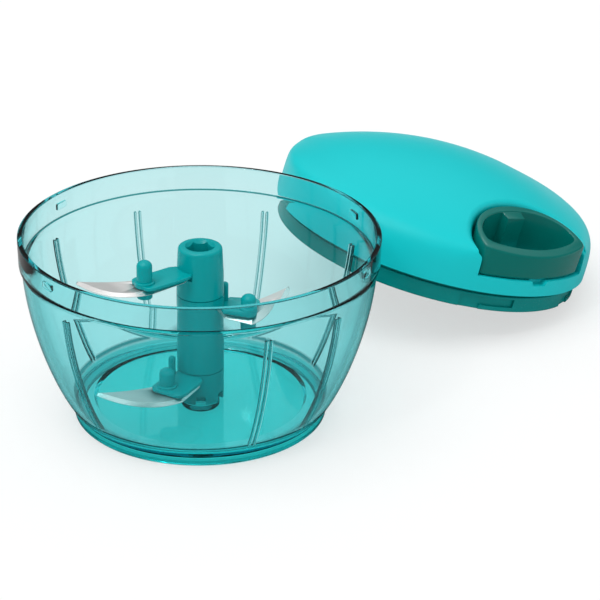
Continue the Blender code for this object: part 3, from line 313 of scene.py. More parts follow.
def bezier(points, steps, skip_first=False):
    """Points along a curve given by its control points."""
    degree = len(points) - 1
    result = []
    for step in range(1 if skip_first else 0, steps + 1):
        t = step / steps
        weights = [comb(degree, k) * (1 - t) ** (degree - k) * t ** k for k in range(degree + 1)]
        result.append(tuple(sum(w * p[axis] for w, p in zip(weights, points)) for axis in (0, 1)))
    return result


def beside(points, widths):
    """A line's points moved over to its left, each by its own width."""
    result = []
    for index, ((x, y), width) in enumerate(zip(points, widths)):
        before, after = points[max(index - 1, 0)], points[min(index + 1, len(points) - 1)]
        run = Vector((after[0] - before[0], after[1] - before[1])).normalized()
        result.append((x - run.y * width, y + run.x * width))
    return result


def outward(mesh):
    bmesh.ops.recalc_face_normals(mesh, faces=mesh.faces)
    return mesh


def weld(mesh, distance):
    bmesh.ops.remove_doubles(mesh, verts=mesh.verts, dist=distance)
    bmesh.ops.dissolve_degenerate(mesh, edges=mesh.edges, dist=distance)


def spin(mesh, chain, edges, steps):
    """Sweep a chain of edges round Z."""
    bmesh.ops.spin(mesh, geom=chain + edges, cent=(0, 0, 0), axis=(0, 0, 1), angle=TAU,
                   steps=steps, use_merge=True)


def turned(profile, steps=BOWL_STEPS):
    """A closed (radius, height) outline, spun about Z."""
    mesh = bmesh.new()
    chain = [mesh.verts.new((radius, 0.0, height)) for radius, height in profile]
    spin(mesh, chain, [mesh.edges.new((chain[k - 1], chain[k])) for k in range(len(chain))], steps)
    weld(mesh, SAME_POINT)
    return outward(mesh)


def drilled(radius, low, high, steps=24):
    """A plain round hole or boss about Z."""
    return turned([(0.0, low), (radius, low), (radius, high), (0.0, high)], steps)


def only(kind, result):
    """The verts, edges or faces among what an operator made."""
    return [item for item in result["geom"] if isinstance(item, kind)]


def prism(points, rise):
    """A flat face through some points, raised along a vector."""
    mesh = bmesh.new()
    base = mesh.faces.new([mesh.verts.new(point) for point in points])
    raised = bmesh.ops.extrude_face_region(mesh, geom=[base])
    bmesh.ops.translate(mesh, vec=rise, verts=only(bmesh.types.BMVert, raised))
    return outward(mesh)


def block(length, width, height):
    """A box about the origin."""
    mesh = bmesh.new()
    bmesh.ops.create_cube(mesh, size=1.0)
    bmesh.ops.scale(mesh, vec=(length, width, height), verts=mesh.verts)
    return mesh


def moved(mesh, x=0.0, y=0.0, z=0.0):
    bmesh.ops.translate(mesh, vec=(x, y, z), verts=mesh.verts)
    return mesh


def spun(mesh, angle, axis="Z"):
    bmesh.ops.rotate(mesh, matrix=Matrix.Rotation(radians(angle), 3, axis), verts=mesh.verts)
    return mesh


def rounded(mesh, edges, width, segments):
    bmesh.ops.bevel(mesh, geom=edges, offset=width, offset_type="OFFSET", segments=segments, profile=0.5,
                    affect="EDGES", material=-1, clamp_overlap=True)
    return mesh


def soften(mesh, width, segments=3, limit=40.0):
    """Round every edge that is sharper than the limit, in degrees."""
    sharp = [e for e in outward(mesh).edges
             if len(e.link_faces) == 2 and degrees(e.calc_face_angle(0.0)) > limit]
    return rounded(mesh, sharp, width, segments)


def joined(*meshes):
    """Several closed shapes in one bmesh."""
    whole = meshes[0]
    for mesh in meshes[1:]:
        carrier = bpy.data.meshes.new("carrier")
        mesh.to_mesh(carrier)
        mesh.free()
        whole.from_mesh(carrier)
        bpy.data.meshes.remove(carrier)
    return whole


def smooth(piece):
    """Shade a piece smooth but for its sharp edges."""
    piece.data.shade_smooth()
    piece.data.set_sharp_from_angle(angle=radians(SHARP_ANGLE))
    return piece


def new_object(name, mesh, *finishes):
    """A smooth object from a bmesh."""
    data = bpy.data.meshes.new(name)
    mesh.to_mesh(data)
    mesh.free()
    piece = smooth(add_object(name, data))
    for finish in finishes:
        data.materials.append(finish.material)
    return piece


def discard(piece):
    data = piece.data
    bpy.data.objects.remove(piece)
    bpy.data.meshes.remove(data)


def carve(piece, *steps):
    """Join with, cut with or keep within other shapes in turn, and clean up the result."""
    for operation, shape in steps:
        modifier = piece.modifiers.new(operation, "BOOLEAN")
        modifier.operation = operation
        modifier.object = new_object(piece.name + "_tool", shape)
        modifier.solver = "EXACT"
    bpy.context.view_layer.update()
    evaluated = piece.evaluated_get(bpy.context.evaluated_depsgraph_get())
    result = bpy.data.meshes.new_from_object(evaluated)
    clean = bmesh.new()
    clean.from_mesh(result)
    weld(clean, MERGE_DISTANCE)
    bmesh.ops.holes_fill(clean, edges=[e for e in clean.edges if e.is_boundary], sides=0)
    clean.to_mesh(result)
    clean.free()
    for tool in [modifier.object for modifier in piece.modifiers]:
        discard(tool)
    piece.modifiers.clear()
    rough = piece.data
    piece.data = result
    bpy.data.meshes.remove(rough)
    return piece


def fit_piece(piece, body, slot, *nodes):
    """Tie a finished piece to its body, in place of the solids it stands for; its slot is not used."""
    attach(piece, body)
    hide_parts(*nodes)


clear = Finish("clear_teal_plastic")
ripple = clear.noise(45.0, 1.0)
facing = clear.add("LayerWeight", {}, {"Blend": 0.5}, "Facing")
tint = clear.mix(clear.ramp(facing, GRAZING_FROM, 1.0), SKIN_TINT, GRAZING_TINT)
for low, high, zone_tint in ZONES:
    tint = clear.mix(clear.ramp(clear.axis("Z"), low, high), tint, zone_tint)
edge_mark = clear.add("Attribute", {"attribute_name": "edge"}, {}, "Fac")
clear.paint(Base_Color=clear.mix(edge_mark, tint, EDGE_TINT), Roughness=0.02, IOR=1.33,
            Transmission_Weight=1.0, Normal=clear.bump(ripple, 0.3 * MM, 0.05))
depth_tint = clear.add("VolumeAbsorption", {}, {"Color": DEEP_TINT, "Density": TINT_DEPTH})
feed(clear.tree.nodes["Material Output"].inputs["Volume"], depth_tint)

outer_wall = bezier([(FOOT_R + 0.2 * MM, FOOT_HEIGHT), BELLY_LOW, BELLY_HIGH,
                     (RIM_R - COLLAR_STEP, COLLAR_Z - 0.5 * MM)], 28)
inner_wall = [p for p in beside(outer_wall, [BOWL_WALL] * len(outer_wall)) if p[1] > FLOOR_TOP_Z + 3.2 * MM]
floor_corner = inner_wall[0]
collar_r = RIM_R - BOWL_WALL
collar_foot_r = RIM_R - COLLAR_TAPER
foot_inner = FOOT_R - FOOT_WIDTH
step_z, ledge_z = COLLAR_Z + 0.1 * MM, COLLAR_Z + 0.9 * MM
ledge_end, wall_end = Vector((collar_r - COLLAR_LEDGE, ledge_z)), Vector(inner_wall[-1])
bowl_outline = [
    (0.0, 0.0), (BOSS_R - 0.4 * MM, 0.0), (BOSS_R, 0.4 * MM), (BOSS_R, FLOOR_UNDERSIDE_Z),
    (foot_inner, FLOOR_UNDERSIDE_Z), (foot_inner + 0.3 * MM, 0.4 * MM), (foot_inner + 0.8 * MM, 0.0),
    (FOOT_R - 0.5 * MM, 0.0), (FOOT_R, 0.5 * MM), (FOOT_R, FOOT_HEIGHT - 0.4 * MM), *outer_wall,
    (RIM_R - COLLAR_LEDGE, step_z),
    *bezier([(collar_foot_r - 0.2 * MM, step_z), (collar_foot_r, step_z),
             (collar_foot_r, COLLAR_Z + 0.3 * MM)], 3),
    *bezier([(RIM_R, RIM_Z - RIM_ROUND), (RIM_R, RIM_Z), (RIM_R - RIM_ROUND, RIM_Z)], 4),
    *bezier([(collar_r + RIM_ROUND, RIM_Z), (collar_r, RIM_Z), (collar_r, RIM_Z - RIM_ROUND)], 4),
    *bezier([(collar_r, COLLAR_Z + 1.1 * MM), (collar_r, ledge_z), (collar_r - 0.2 * MM, ledge_z)], 3),
    *(tuple(ledge_end.lerp(wall_end, share)) for share in (0.0, LEDGE_SHARE, LEDGE_SHARE + LEDGE_FADE)),
    *inner_wall[::-1],
    *bezier([floor_corner, (floor_corner[0] - 1.2 * MM, FLOOR_TOP_Z + 1.7 * MM),
             (floor_corner[0] - 4.5 * MM, FLOOR_TOP_Z + 1.5 * MM)], 6, True),
    *bezier([(radius, FLOOR_TOP_Z + height) for radius, height in FLOOR_RING], 3), (0.0, FLOOR_TOP_Z)]

rib_wall = [p for p in inner_wall if p[1] < RIB_TOP_Z]
rib_foot = [(floor_corner[0] - 0.3 * MM, RIB_FOOT_Z), (floor_corner[0] - RIB_DEPTH - 0.6 * MM, RIB_FOOT_Z)]
rib_outline = [(r + RIB_SINK, z) for r, z in rib_wall[::-1]] + rib_foot
rib_outline += [(r - RIB_DEPTH, z) for r, z in rib_wall]
bowl_extras = []
for azimuth in RIB_AZIMUTHS:
    for start in (-RIB_WIDTH / 2, RIB_WIDTH / 2 - RIDGE_WIDTH):
        ridge = prism([(r, start, z) for r, z in rib_outline], (0, RIDGE_WIDTH, 0))
        bowl_extras.append(spun(soften(ridge, RIDGE_ROUND), azimuth))
for azimuth in LUG_AZIMUTHS:
    lug = soften(block(*LUG_SIZE), LUG_ROUND)
    bowl_extras.append(spun(moved(lug, collar_r, 0, LUG_Z), azimuth))

pin_seat = drilled(PIN_R + FIT, PIN_SEAT_Z, FLOOR_TOP_Z + PAST, 48)
bowl_shell = new_object("bowl_shell", turned(bowl_outline), clear)
smooth(carve(bowl_shell, (JOIN, joined(*bowl_extras)), (CUT, pin_seat)))


def edge_share(radius, height):
    """How much of the edges' tint a point of the bowl takes."""
    if RIB_FOOT_Z + RIB_SINK < height < RIB_TOP_Z + RIB_SINK:
        wall_r = next(r for r, z in inner_wall if z > min(height, RIB_TOP_Z) - 0.05 * MM)
        rise = (wall_r - radius) / RIB_DEPTH
        on_crest = rise > RIDGE_RISES[1] and height < RIB_TOP_Z - RIB_DEPTH
        return CREST_SHARE if on_crest else float(rise > RIDGE_RISES[0])
    on_rim = RIM_Z - RIM_BAND[0] < height < RIM_Z - RIM_BAND[1] and radius > RIM_R - RIM_ROUND
    line_foot = ledge_end.lerp(wall_end, LEDGE_SHARE + LEDGE_FADE / 2).y
    on_ledge = line_foot < height < ledge_end.y + FIT and radius < collar_r - 0.1 * MM
    return float(on_rim or on_ledge)


edge_marks = bowl_shell.data.attributes.new("edge", "FLOAT", "POINT")
for vert, mark in zip(bowl_shell.data.vertices, edge_marks.data):
    mark.value = edge_share(vert.co.xy.length, vert.co.z)
fit_piece(bowl_shell, "bowl", "clear_teal", "bowl")


# Pivot pin
# A turned steel pin pressed into the middle of the bowl's floor, with a chamfered nose.
# The blade unit drops over it and turns on it.
PIN_TOP_Z = 27.0 * MM
PIN_CHAMFER = 0.8 * MM
STEEL = (0.62, 0.61, 0.60, 1.0)

turned_steel = Finish("turned_steel")
lathe_marks = turned_steel.noise(900.0, 3.0)
turned_steel.paint(Base_Color=STEEL, Metallic=1.0, Roughness=lathe_marks * 0.12 + 0.2)
pin_foot = PIN_SEAT_Z + FIT
pin = soften(drilled(PIN_R, pin_foot, PIN_TOP_Z, 64), PIN_CHAMFER)
fit_piece(new_object("pivot_pin_steel", pin, turned_steel), "bowl", "steel", "pivot_pin")


# Column of the blade unit
# Three sections of glossy teal plastic, plugged into each other. The top one has the hexagonal
# socket for the lid's shaft, and the bottom one stands on a ring of short teeth.
COLUMN_STEPS = 96
COLUMN_R = 8.0 * MM
COLUMN_TOP_R = 7.5 * MM
COLUMN_TOP_Z = RIM_Z - 5.0 * MM
SEAM_LOW_Z = 15.4 * MM
SEAM_HIGH_Z = 42.6 * MM
COLUMN_FOOT_Z = 4.5 * MM
PLUG_R = 5.9 * MM
PLUG_LENGTH = 5.0 * MM
TOP_ROUND = 1.4 * MM
BORE_R = 2.9 * MM
BORE_TOP_Z = 27.6 * MM
FOOT_TEETH = 6
TOOTH_HEIGHT = 3.0 * MM
TOOTH_GAP = 3.4 * MM
TOOTH_ROUND = 0.6 * MM
SHAFT_FLATS = 7.6 * MM
SOCKET_FLATS = SHAFT_FLATS + 2 * FIT
SOCKET_DEPTH = 18.4 * MM
MOUTH_R = 5.1 * MM                  # chamfer at the socket's mouth
MOUTH_DEPTH = 1.1 * MM
MOUTH_SLOPE = 0.8                   # inwards for each part down
BLADE_THICKNESS = 0.9 * MM
PLATE_THICKNESS = 1.2 * MM
PLATE_CORNER = 2.6 * MM
PLATE_ROOT = 4.4 * MM               # half the plate's width inside the column
PLATE_ROUND = 0.3 * MM
PEG_R = 2.6 * MM
PEG_ROUND = 0.25 * MM
PEG_FLANGE_R = 3.4 * MM
PEG_FLANGE = 0.7 * MM
PEG_NECK_R = 1.7 * MM
STAKE_HEIGHT = 2.6 * MM
SIDE_PEG_R = 1.2 * MM
SIDE_PEG_HEIGHT = 6.6 * MM
ROOT_DEPTH = 1.4 * MM
ROOT_BACK = 2.6 * MM
HEEL_STEP = 0.9 * MM
TEAL = srgb(0, 165, 168)


class Arm:
    """A blade's arm: its azimuth, the side that cuts, and sizes in millimetres, along it and across it."""

    def __init__(self, azimuth, hand, **sizes):
        self.azimuth = azimuth
        self.hand = hand
        for name, size in sizes.items():
            setattr(self, name, tuple(part * MM for part in size) if isinstance(size, tuple) else size * MM)

    def at(self, along, across):
        """World place of a point given along the arm and towards its cutting side."""
        turn = radians(self.azimuth)
        side = across * self.hand
        return (along * cos(turn) - side * sin(turn), along * sin(turn) + side * cos(turn))

    def slab(self, outline, low, high):
        return slab([self.at(along, across) for along, across in outline], low, high)


ARMS = {
    "upper": Arm(-143, 1, blade_z=50.4, plate=(-5.5, 5.4, 25.4), peg=(22.9, 0.0), peg_height=8.0,
                 heel=(22.6, 4.9), belly=(38.9, 3.2), tip=(38.7, -17.6), hollow=(31.5, -9.6),
                 back=(20.5, -5.2), side_peg=()),
    "middle": Arm(-8, -1, blade_z=35.6, plate=(-8.4, 8.6, 19.6), peg=(17.0, 5.2), peg_height=7.6,
                  heel=(18.6, 9.0), belly=(28.5, 1.5), tip=(28.2, -23.2), hollow=(22.3, -14.5),
                  back=(16.0, -7.6), side_peg=(7.6, -5.9)),
    "lower": Arm(-122, 1, blade_z=12.9, plate=(-6.2, 6.4, 22.6), peg=(18.2, -1.8), peg_height=6.6,
                 heel=(21.4, 6.5), belly=(36.0, 1.0), tip=(32.6, -21.2), hollow=(27.0, -12.4),
                 back=(17.4, -6.0), side_peg=(9.7, -5.3)),
}


def moulded(name, colour, roughness, sheen=0.2, mottle=0.04, grain=1800.0, grain_height=0.02 * MM):
    """Moulded plastic: faint flow marks in the colour and a fine grain in the gloss."""
    finish = Finish(name)
    flow = finish.noise(60.0, 2.0)
    fine = finish.noise(grain, 2.0)
    pale = tuple(min(1.0, part * (1 + mottle)) for part in colour[:3]) + (1.0,)
    deep = tuple(part * (1 - mottle) for part in colour[:3]) + (1.0,)
    finish.paint(Base_Color=finish.mix(flow, deep, pale), Roughness=fine * 0.08 + (roughness - 0.04),
                 Specular_IOR_Level=sheen, Normal=finish.bump(fine, grain_height, 0.35))
    return finish


def slab(outline, low, high):
    """A flat outline of (x, y) points raised from one height to another."""
    return prism([(x, y, low) for x, y in outline], (0, 0, high - low))


def arc(radius, start, end, steps, centre=(0.0, 0.0)):
    """Points of an arc, its ends in degrees."""
    turns = [radians(start + (end - start) * k / steps) for k in range(steps + 1)]
    return [(centre[0] + radius * cos(t), centre[1] + radius * sin(t)) for t in turns]


def oblong(near, far, low_side, high_side):
    return [(near, low_side), (far, low_side), (far, high_side), (near, high_side)]


def hexagon(across_flats):
    return arc(across_flats / sqrt(3), 0, 300, 5)


def peg(place, foot, top, radius, steps=48):
    """A round peg with a domed top."""
    crown = [(radius * cos(t), top - radius * 0.8 + radius * 0.8 * sin(t))
             for t in (k * TAU / 32 for k in range(9))]
    return moved(turned([(0.0, foot), (radius, foot)] + crown[:-1] + [(0.0, top)], steps), *place)


teal_plastic = moulded("teal_plastic", TEAL, 0.24)


def plug(bore_r, foot, seam):
    """The lower end of a section's outline, plugged into the section below the seam."""
    return [(bore_r, foot), (PLUG_R, foot), (PLUG_R, seam + FIT), (COLUMN_R, seam + FIT)]


def seat(bore_r, seam):
    """The upper end of a section's outline, where the next one plugs in."""
    floor_z = seam - PLUG_LENGTH
    return [(COLUMN_R, seam), (PLUG_R + FIT, seam), (PLUG_R + FIT, floor_z), (bore_r, floor_z)]


top_corner = [(COLUMN_TOP_R, COLUMN_TOP_Z - TOP_ROUND), (COLUMN_TOP_R, COLUMN_TOP_Z),
              (COLUMN_TOP_R - TOP_ROUND, COLUMN_TOP_Z)]
sections = {
    "lower": [(BORE_R, COLUMN_FOOT_Z), (COLUMN_R, COLUMN_FOOT_Z), *seat(BORE_R, SEAM_LOW_Z)],
    "middle": [*plug(BORE_R, SEAM_LOW_Z + FIT - PLUG_LENGTH, SEAM_LOW_Z), *seat(0.0, SEAM_HIGH_Z),
               (0.0, BORE_TOP_Z), (BORE_R, BORE_TOP_Z)],
    "upper": [*plug(0.0, SEAM_HIGH_Z + 2 * FIT - PLUG_LENGTH, SEAM_HIGH_Z),
              (COLUMN_R - 0.1 * MM, SEAM_HIGH_Z + 8 * MM), *bezier(top_corner, 6), (0.0, COLUMN_TOP_Z)]}

for level_name, outline in sections.items():
    arm = ARMS[level_name]
    stake_top = arm.blade_z - FIT
    plate_foot = arm.blade_z + BLADE_THICKNESS + FIT
    plate_top = plate_foot + PLATE_THICKNESS
    section = new_object("column_" + level_name + "_moulding", turned(outline, COLUMN_STEPS), teal_plastic)
    cuts = []
    if level_name == "upper":
        above = COLUMN_TOP_Z + PAST
        mouth_z = COLUMN_TOP_Z - MOUTH_DEPTH
        cuts.append(slab(hexagon(SOCKET_FLATS), COLUMN_TOP_Z - SOCKET_DEPTH, above))
        cuts.append(turned([(0.0, mouth_z), (MOUTH_R - MOUTH_DEPTH * MOUTH_SLOPE, mouth_z),
                            (MOUTH_R, COLUMN_TOP_Z), (MOUTH_R, above), (0.0, above)], COLUMN_STEPS))
    if level_name == "lower":
        for tooth in range(FOOT_TEETH):
            gap = moved(soften(block(COLUMN_R, TOOTH_GAP, 2 * TOOTH_HEIGHT), TOOTH_ROUND),
                        COLUMN_R + PAST, 0, COLUMN_FOOT_Z)
            cuts.append(spun(gap, 360 * (tooth + 0.5) / FOOT_TEETH))
    near, far = COLUMN_R - ROOT_DEPTH - FIT, COLUMN_R + 2 * PAST
    low_side, high_side = -ROOT_BACK - FIT, arm.heel[1] - HEEL_STEP + FIT
    cuts.append(arm.slab(oblong(near, far, low_side, high_side), stake_top, plate_foot))
    carve(section, *[(CUT, cut) for cut in cuts])

    inner_u = PLUG_R + FIT + 0.4 * MM
    low, high, tip = arm.plate
    root_x, bend = COLUMN_R + 1 * MM, tip - PLATE_CORNER
    plate_outline = [(inner_u, max(low, -PLATE_ROOT)), (root_x, low), (bend, low),
                     *arc(PLATE_CORNER, -60, 0, 5, (bend, low + PLATE_CORNER)),
                     *arc(PLATE_CORNER, 0, 60, 5, (bend, high - PLATE_CORNER)),
                     (bend, high), (root_x, high), (inner_u, min(high, PLATE_ROOT))]
    plate = soften(arm.slab(plate_outline, plate_foot, plate_top), PLATE_ROUND)
    peg_place = arm.at(*arm.peg)
    stake_low = stake_top - STAKE_HEIGHT
    neck_top = plate_foot + FIT
    flange = soften(drilled(PEG_FLANGE_R, plate_foot, plate_top + PEG_FLANGE, 48), PEG_ROUND)
    stake = turned([(0.0, stake_low), (PEG_R, stake_low), (PEG_R, stake_top), (PEG_NECK_R, stake_top),
                    (PEG_NECK_R, neck_top), (0.0, neck_top)], 48)
    arm_shapes = [plate, moved(flange, *peg_place), moved(soften(stake, PEG_ROUND), *peg_place),
                  peg(peg_place, plate_top, plate_top + arm.peg_height, PEG_R)]
    if arm.side_peg:
        arm_shapes.append(peg(arm.at(*arm.side_peg), plate_foot, plate_top + SIDE_PEG_HEIGHT, SIDE_PEG_R, 24))
    smooth(carve(section, *[(JOIN, shape) for shape in arm_shapes]))
    fit_piece(section, "blade_unit", "teal", "column_" + level_name)


# Blades
# Stamped stainless steel, brushed along the arm, each with one edge ground to a bright bevel.
# The middle blade is the other way round, so the unit cuts whichever way it turns.
BEVEL_WIDTH = 1.7 * MM
BEVEL_LAND = 0.15 * MM
BLADE_CURVE_STEPS = 24
BLADE_SHARP_ANGLE = 12              # degrees from which a blade's edge stays sharp
BLADE_ROOT_END = COLUMN_R + 1.5 * MM
HEEL_ROOT_SHARE = 0.55
GROUND_SLOPES = (0.2, 0.97)         # upward parts of a normal between which a face is the ground edge
NOSE_STEPS = 5


def brushed(name, direction, shade, roughness):
    """Steel with fine scratches along one direction, in degrees from X."""
    finish = Finish(name)
    stretched = finish.add("Mapping", {}, {"Vector": finish.place(), "Scale": (60.0, 2600.0, 60.0),
                                           "Rotation": (0.0, 0.0, -radians(direction))})
    scratches = finish.noise(1.0, 4.0, stretched)
    tone = finish.mix(scratches, (shade * 0.86, shade * 0.85, shade * 0.84, 1.0),
                      (shade, shade, shade * 0.99, 1.0))
    finish.paint(Base_Color=tone, Metallic=1.0, Roughness=scratches * 0.18 + (roughness - 0.09),
                 Normal=finish.bump(scratches, 0.01 * MM, 0.4))
    return finish


for level_name, arm in ARMS.items():
    root_u = COLUMN_R - ROOT_DEPTH
    cutting = [(root_u, arm.heel[1] * HEEL_ROOT_SHARE), (BLADE_ROOT_END, arm.heel[1] - HEEL_STEP)]
    cutting += bezier([arm.heel, arm.belly, arm.tip], BLADE_CURVE_STEPS)[:-1]
    spine = bezier([arm.tip, arm.hollow, arm.back], BLADE_CURVE_STEPS, True)
    cutting += bezier([cutting[-1], arm.tip, spine[0]], NOSE_STEPS, True)[:-1]
    spine += [(BLADE_ROOT_END, -ROOT_BACK), (root_u, -ROOT_BACK)]
    widths = [-BEVEL_WIDTH * min(1.0, left / (NOSE_STEPS + 2)) for left in range(len(cutting), 0, -1)]
    ground = beside(cutting, [0.0, 0.0] + widths[2:])
    blade_low = arm.blade_z
    blade_high = blade_low + BLADE_THICKNESS
    mesh = bmesh.new()
    loops = []
    for outline, height in ((cutting + spine, blade_low), (cutting + spine, blade_low + BEVEL_LAND),
                            (ground + spine, blade_high)):
        verts = [mesh.verts.new((*arm.at(u, v), height)) for u, v in outline]
        loops.append([mesh.edges.new((verts[k - 1], verts[k])) for k in range(len(verts))])
    for lower, upper in zip(loops, loops[1:]):
        bmesh.ops.bridge_loops(mesh, edges=lower + upper)
    for rim in (loops[0], loops[-1]):
        bmesh.ops.edgeloop_fill(mesh, edges=rim)
    bmesh.ops.remove_doubles(mesh, verts=mesh.verts, dist=SAME_POINT)
    for face in outward(mesh).faces:
        face.material_index = 1 if GROUND_SLOPES[0] < face.normal.z < GROUND_SLOPES[1] else 0
    steel_face = brushed("brushed_blade_" + level_name, arm.azimuth + 90, 0.73, 0.56)
    steel_edge = brushed("ground_edge_" + level_name, arm.azimuth, 0.86, 0.24)
    blade = new_object("blade_" + level_name + "_steel", mesh, steel_face, steel_edge)
    blade.data.set_sharp_from_angle(angle=radians(BLADE_SHARP_ANGLE))
    hole = drilled(PEG_NECK_R + FIT, blade_low - PAST, blade_high + PAST, 32)
    carve(blade, (CUT, moved(hole, *arm.at(*arm.peg))))
    fit_piece(blade, "blade_unit", "steel", "blade_" + level_name)


# Dome of the lid
# A turquoise shell 2 mm thick with a satin skin: an oval crown that runs from front to back,
# two flatter flanks, and an upright edge. The pocket for the handle is moulded in one with it.
RING_R = RIM_R - BOWL_WALL - 0.4 * MM
RING_HEIGHT = 7.6 * MM
SHAFT_PROUD = 14.5 * MM
SHAFT_LIFT = 0.05 * MM
LID_TILT = atan2(SHAFT_PROUD + SHAFT_LIFT, RING_R - SHAFT_FLATS / sqrt(3))
LID_LOW_AZIMUTH = radians(13.6)
LID_AZIMUTH = radians(49.57)
LID_APART = 12.0 * MM
HANDLE_TURN = radians(-69.0)
DOME_STEPS = 180
DOME_R = RIM_R + 0.1 * MM
DOME_HEIGHT = 30.1 * MM
DOME_FALL_LONG = 15.7 * MM
DOME_FALL_WIDE = 15.0 * MM
DOME_WALL = 2.0 * MM
CREASE_R = 250.0 * MM
CREASE_OFFSET = 34.0 * MM
CREASE_MARGIN = 2.3 * MM
CREASE_DROP = 1.0 * MM
CREASE_FADE = (0.75, 0.5)           # where it starts to fade towards the front, and over how much
SIDE_FULLNESS = 4.5
FRONT_FULLNESS = 1.8
BACK_FULLNESS = 7.9
CROWN_RINGS = 24
SIDE_RINGS = 24
HANDLE_WIDTH = 51.0 * MM
HANDLE_FRONT_R = DOME_R - 1.0 * MM
HANDLE_SHOULDER = HANDLE_FRONT_R - 7.6 * MM
HANDLE_BACK = 18.3 * MM
HANDLE_FULLNESS = 2.1
HANDLE_CORNER = 2.5 * MM
HANDLE_BOTTOM = 6.2 * MM
POCKET_CLEAR = 1.0 * MM
POCKET_WALL = 1.6 * MM
LIP_R = 3.0 * MM                    # rounding of the pocket's lip, which fades towards the front
LIP_LEAST = 0.25
LIP_END_X = 56.0 * MM
LIP_FADE = 9.0 * MM
NOTCH_WIDTH = 10.0 * MM
NOTCH_FLOOR_WIDTH = 6.0 * MM
NOTCH_DEPTH = 1.8 * MM
NOTCH_REACH = 3.2 * MM
NOTCH_ROUND = 0.5 * MM
NOTCH_BACK = (4.0 * MM, 15.0 * MM)
SPIGOT_RISE = 1.9 * MM
BASE_FLOOR_TOP = -0.6 * MM
BASE_FLOOR = 2.0 * MM
SCREW_R = 1.4 * MM
SCREW_TOP = 9.0 * MM
SCREW_BOSS_R = 3.6 * MM
SCREW_PLACES = arc(RING_R - 2.2 * MM - SCREW_BOSS_R - 2.5 * MM, 45, 315, 3)
CORD_Z = 10.2 * MM
HOLE_REACH = 5.0 * MM               # of the holes along the cord, to each side of their place
EYELET_R = 2.3 * MM
TURQUOISE = srgb(6, 206, 211)

lid_axis = Vector((sin(LID_TILT) * cos(LID_LOW_AZIMUTH),
                   sin(LID_TILT) * sin(LID_LOW_AZIMUTH), cos(LID_TILT)))
lid_down = Vector((cos(LID_TILT) * cos(LID_LOW_AZIMUTH),
                   cos(LID_TILT) * sin(LID_LOW_AZIMUTH), -sin(LID_TILT)))
lid_across = lid_axis.cross(lid_down)
pull_way = lid_down * cos(HANDLE_TURN) + lid_across * sin(HANDLE_TURN)
lid_away = RIM_R + DOME_R + LID_APART
lid_origin = Vector((lid_away * cos(LID_AZIMUTH), lid_away * sin(LID_AZIMUTH),
                     RING_R * sin(LID_TILT))) + lid_axis * RING_HEIGHT
lid_axes = Matrix((pull_way, lid_axis.cross(pull_way), lid_axis)).transposed().to_4x4()
lid_place = Matrix.Translation(lid_origin) @ lid_axes


def crown_height(x, y, drop):
    return DOME_HEIGHT - drop - DOME_FALL_LONG * (x / DOME_R) ** 2 - DOME_FALL_WIDE * (y / DOME_R) ** 2


def dome_point(angle, ring, radius, drop):
    """A point of the dome: rings up to CROWN_RINGS lie on the crown, the rest on its flank."""
    along, across = cos(angle), sin(angle)
    shift = CREASE_R - CREASE_OFFSET
    reach = sqrt(CREASE_R ** 2 - (shift * along) ** 2) - shift * abs(across)
    crease = min(reach, DOME_R - CREASE_MARGIN) * radius / DOME_R
    if ring <= CROWN_RINGS:
        r = crease * ring / CROWN_RINGS
        return (r * along, r * across, crown_height(r * along, r * across, drop))
    fade = min(max((CREASE_FADE[0] - along) / CREASE_FADE[1], 0.0), 1.0)
    lean = CREASE_DROP * fade * min(1.0, 4 * across ** 2)
    crease_z = crown_height(crease * along, crease * across, drop)
    slope = -2 * crease * (DOME_FALL_LONG * along ** 2 + DOME_FALL_WIDE * across ** 2) / DOME_R ** 2
    corner_z = crease_z + slope * (radius - crease) - lean
    t = (ring - CROWN_RINGS) / SIDE_RINGS
    fullness = SIDE_FULLNESS + ((FRONT_FULLNESS if along > 0 else BACK_FULLNESS) - SIDE_FULLNESS) * abs(along)
    near, pull, far = (1 - t) ** 2, 2 * fullness * t * (1 - t), t * t
    total = near + pull + far
    r = (near * crease + (pull + far) * radius) / total
    return (r * along, r * across, (near * crease_z + pull * corner_z) / total)


def dome_skin(radius, drop):
    """Spin a flat spoke into a disc, then lift its rings onto the dome."""
    mesh = bmesh.new()
    rings = CROWN_RINGS + SIDE_RINGS
    spoke = [mesh.verts.new((float(ring), 0.0, 0.0)) for ring in range(rings + 1)]
    edges = [mesh.edges.new(pair) for pair in zip(spoke, spoke[1:])]
    spin(mesh, spoke, edges, DOME_STEPS)
    bmesh.ops.remove_doubles(mesh, verts=mesh.verts, dist=1e-3)
    for vert in mesh.verts:
        ring = round(vert.co.xy.length)
        vert.co = dome_point(atan2(vert.co.y, vert.co.x), ring, radius, drop)
    return mesh


def dome_solid():
    """The dome closed below, as far as the middle of its wall."""
    mesh = dome_skin(DOME_R - DOME_WALL / 2, DOME_WALL / 2)
    bmesh.ops.edgeloop_fill(mesh, edges=[e for e in mesh.edges if e.is_boundary])
    return outward(mesh)


def handle_outline(grow, front_r=None, corner=HANDLE_CORNER, shoulder=HANDLE_SHOULDER, steps=56):
    """Full bow behind the shoulder line and an arc in front of it, grown by a margin."""
    half = HANDLE_WIDTH / 2 + grow
    depth = shoulder - HANDLE_SHOULDER + HANDLE_BACK + grow
    power = 2 / HANDLE_FULLNESS
    outline = []
    for k in range(steps + 1):
        t = pi * k / steps
        across = copysign(abs(cos(t)) ** power, cos(t))
        outline.append((shoulder - depth * abs(sin(t)) ** power, half * across))
    if front_r:
        end_y = half - corner
        reach = asin(end_y / front_r)
        end_x = front_r * cos(reach)
        turn_x = end_x - corner * tan(reach)
        left = bezier([(shoulder, -half), (turn_x, -half), (end_x, -end_y)], 8, True)
        front = arc(front_r, -degrees(reach), degrees(reach), 30)[1:-1]
        outline += left + front + [(x, -y) for x, y in left[::-1]]
    return outline


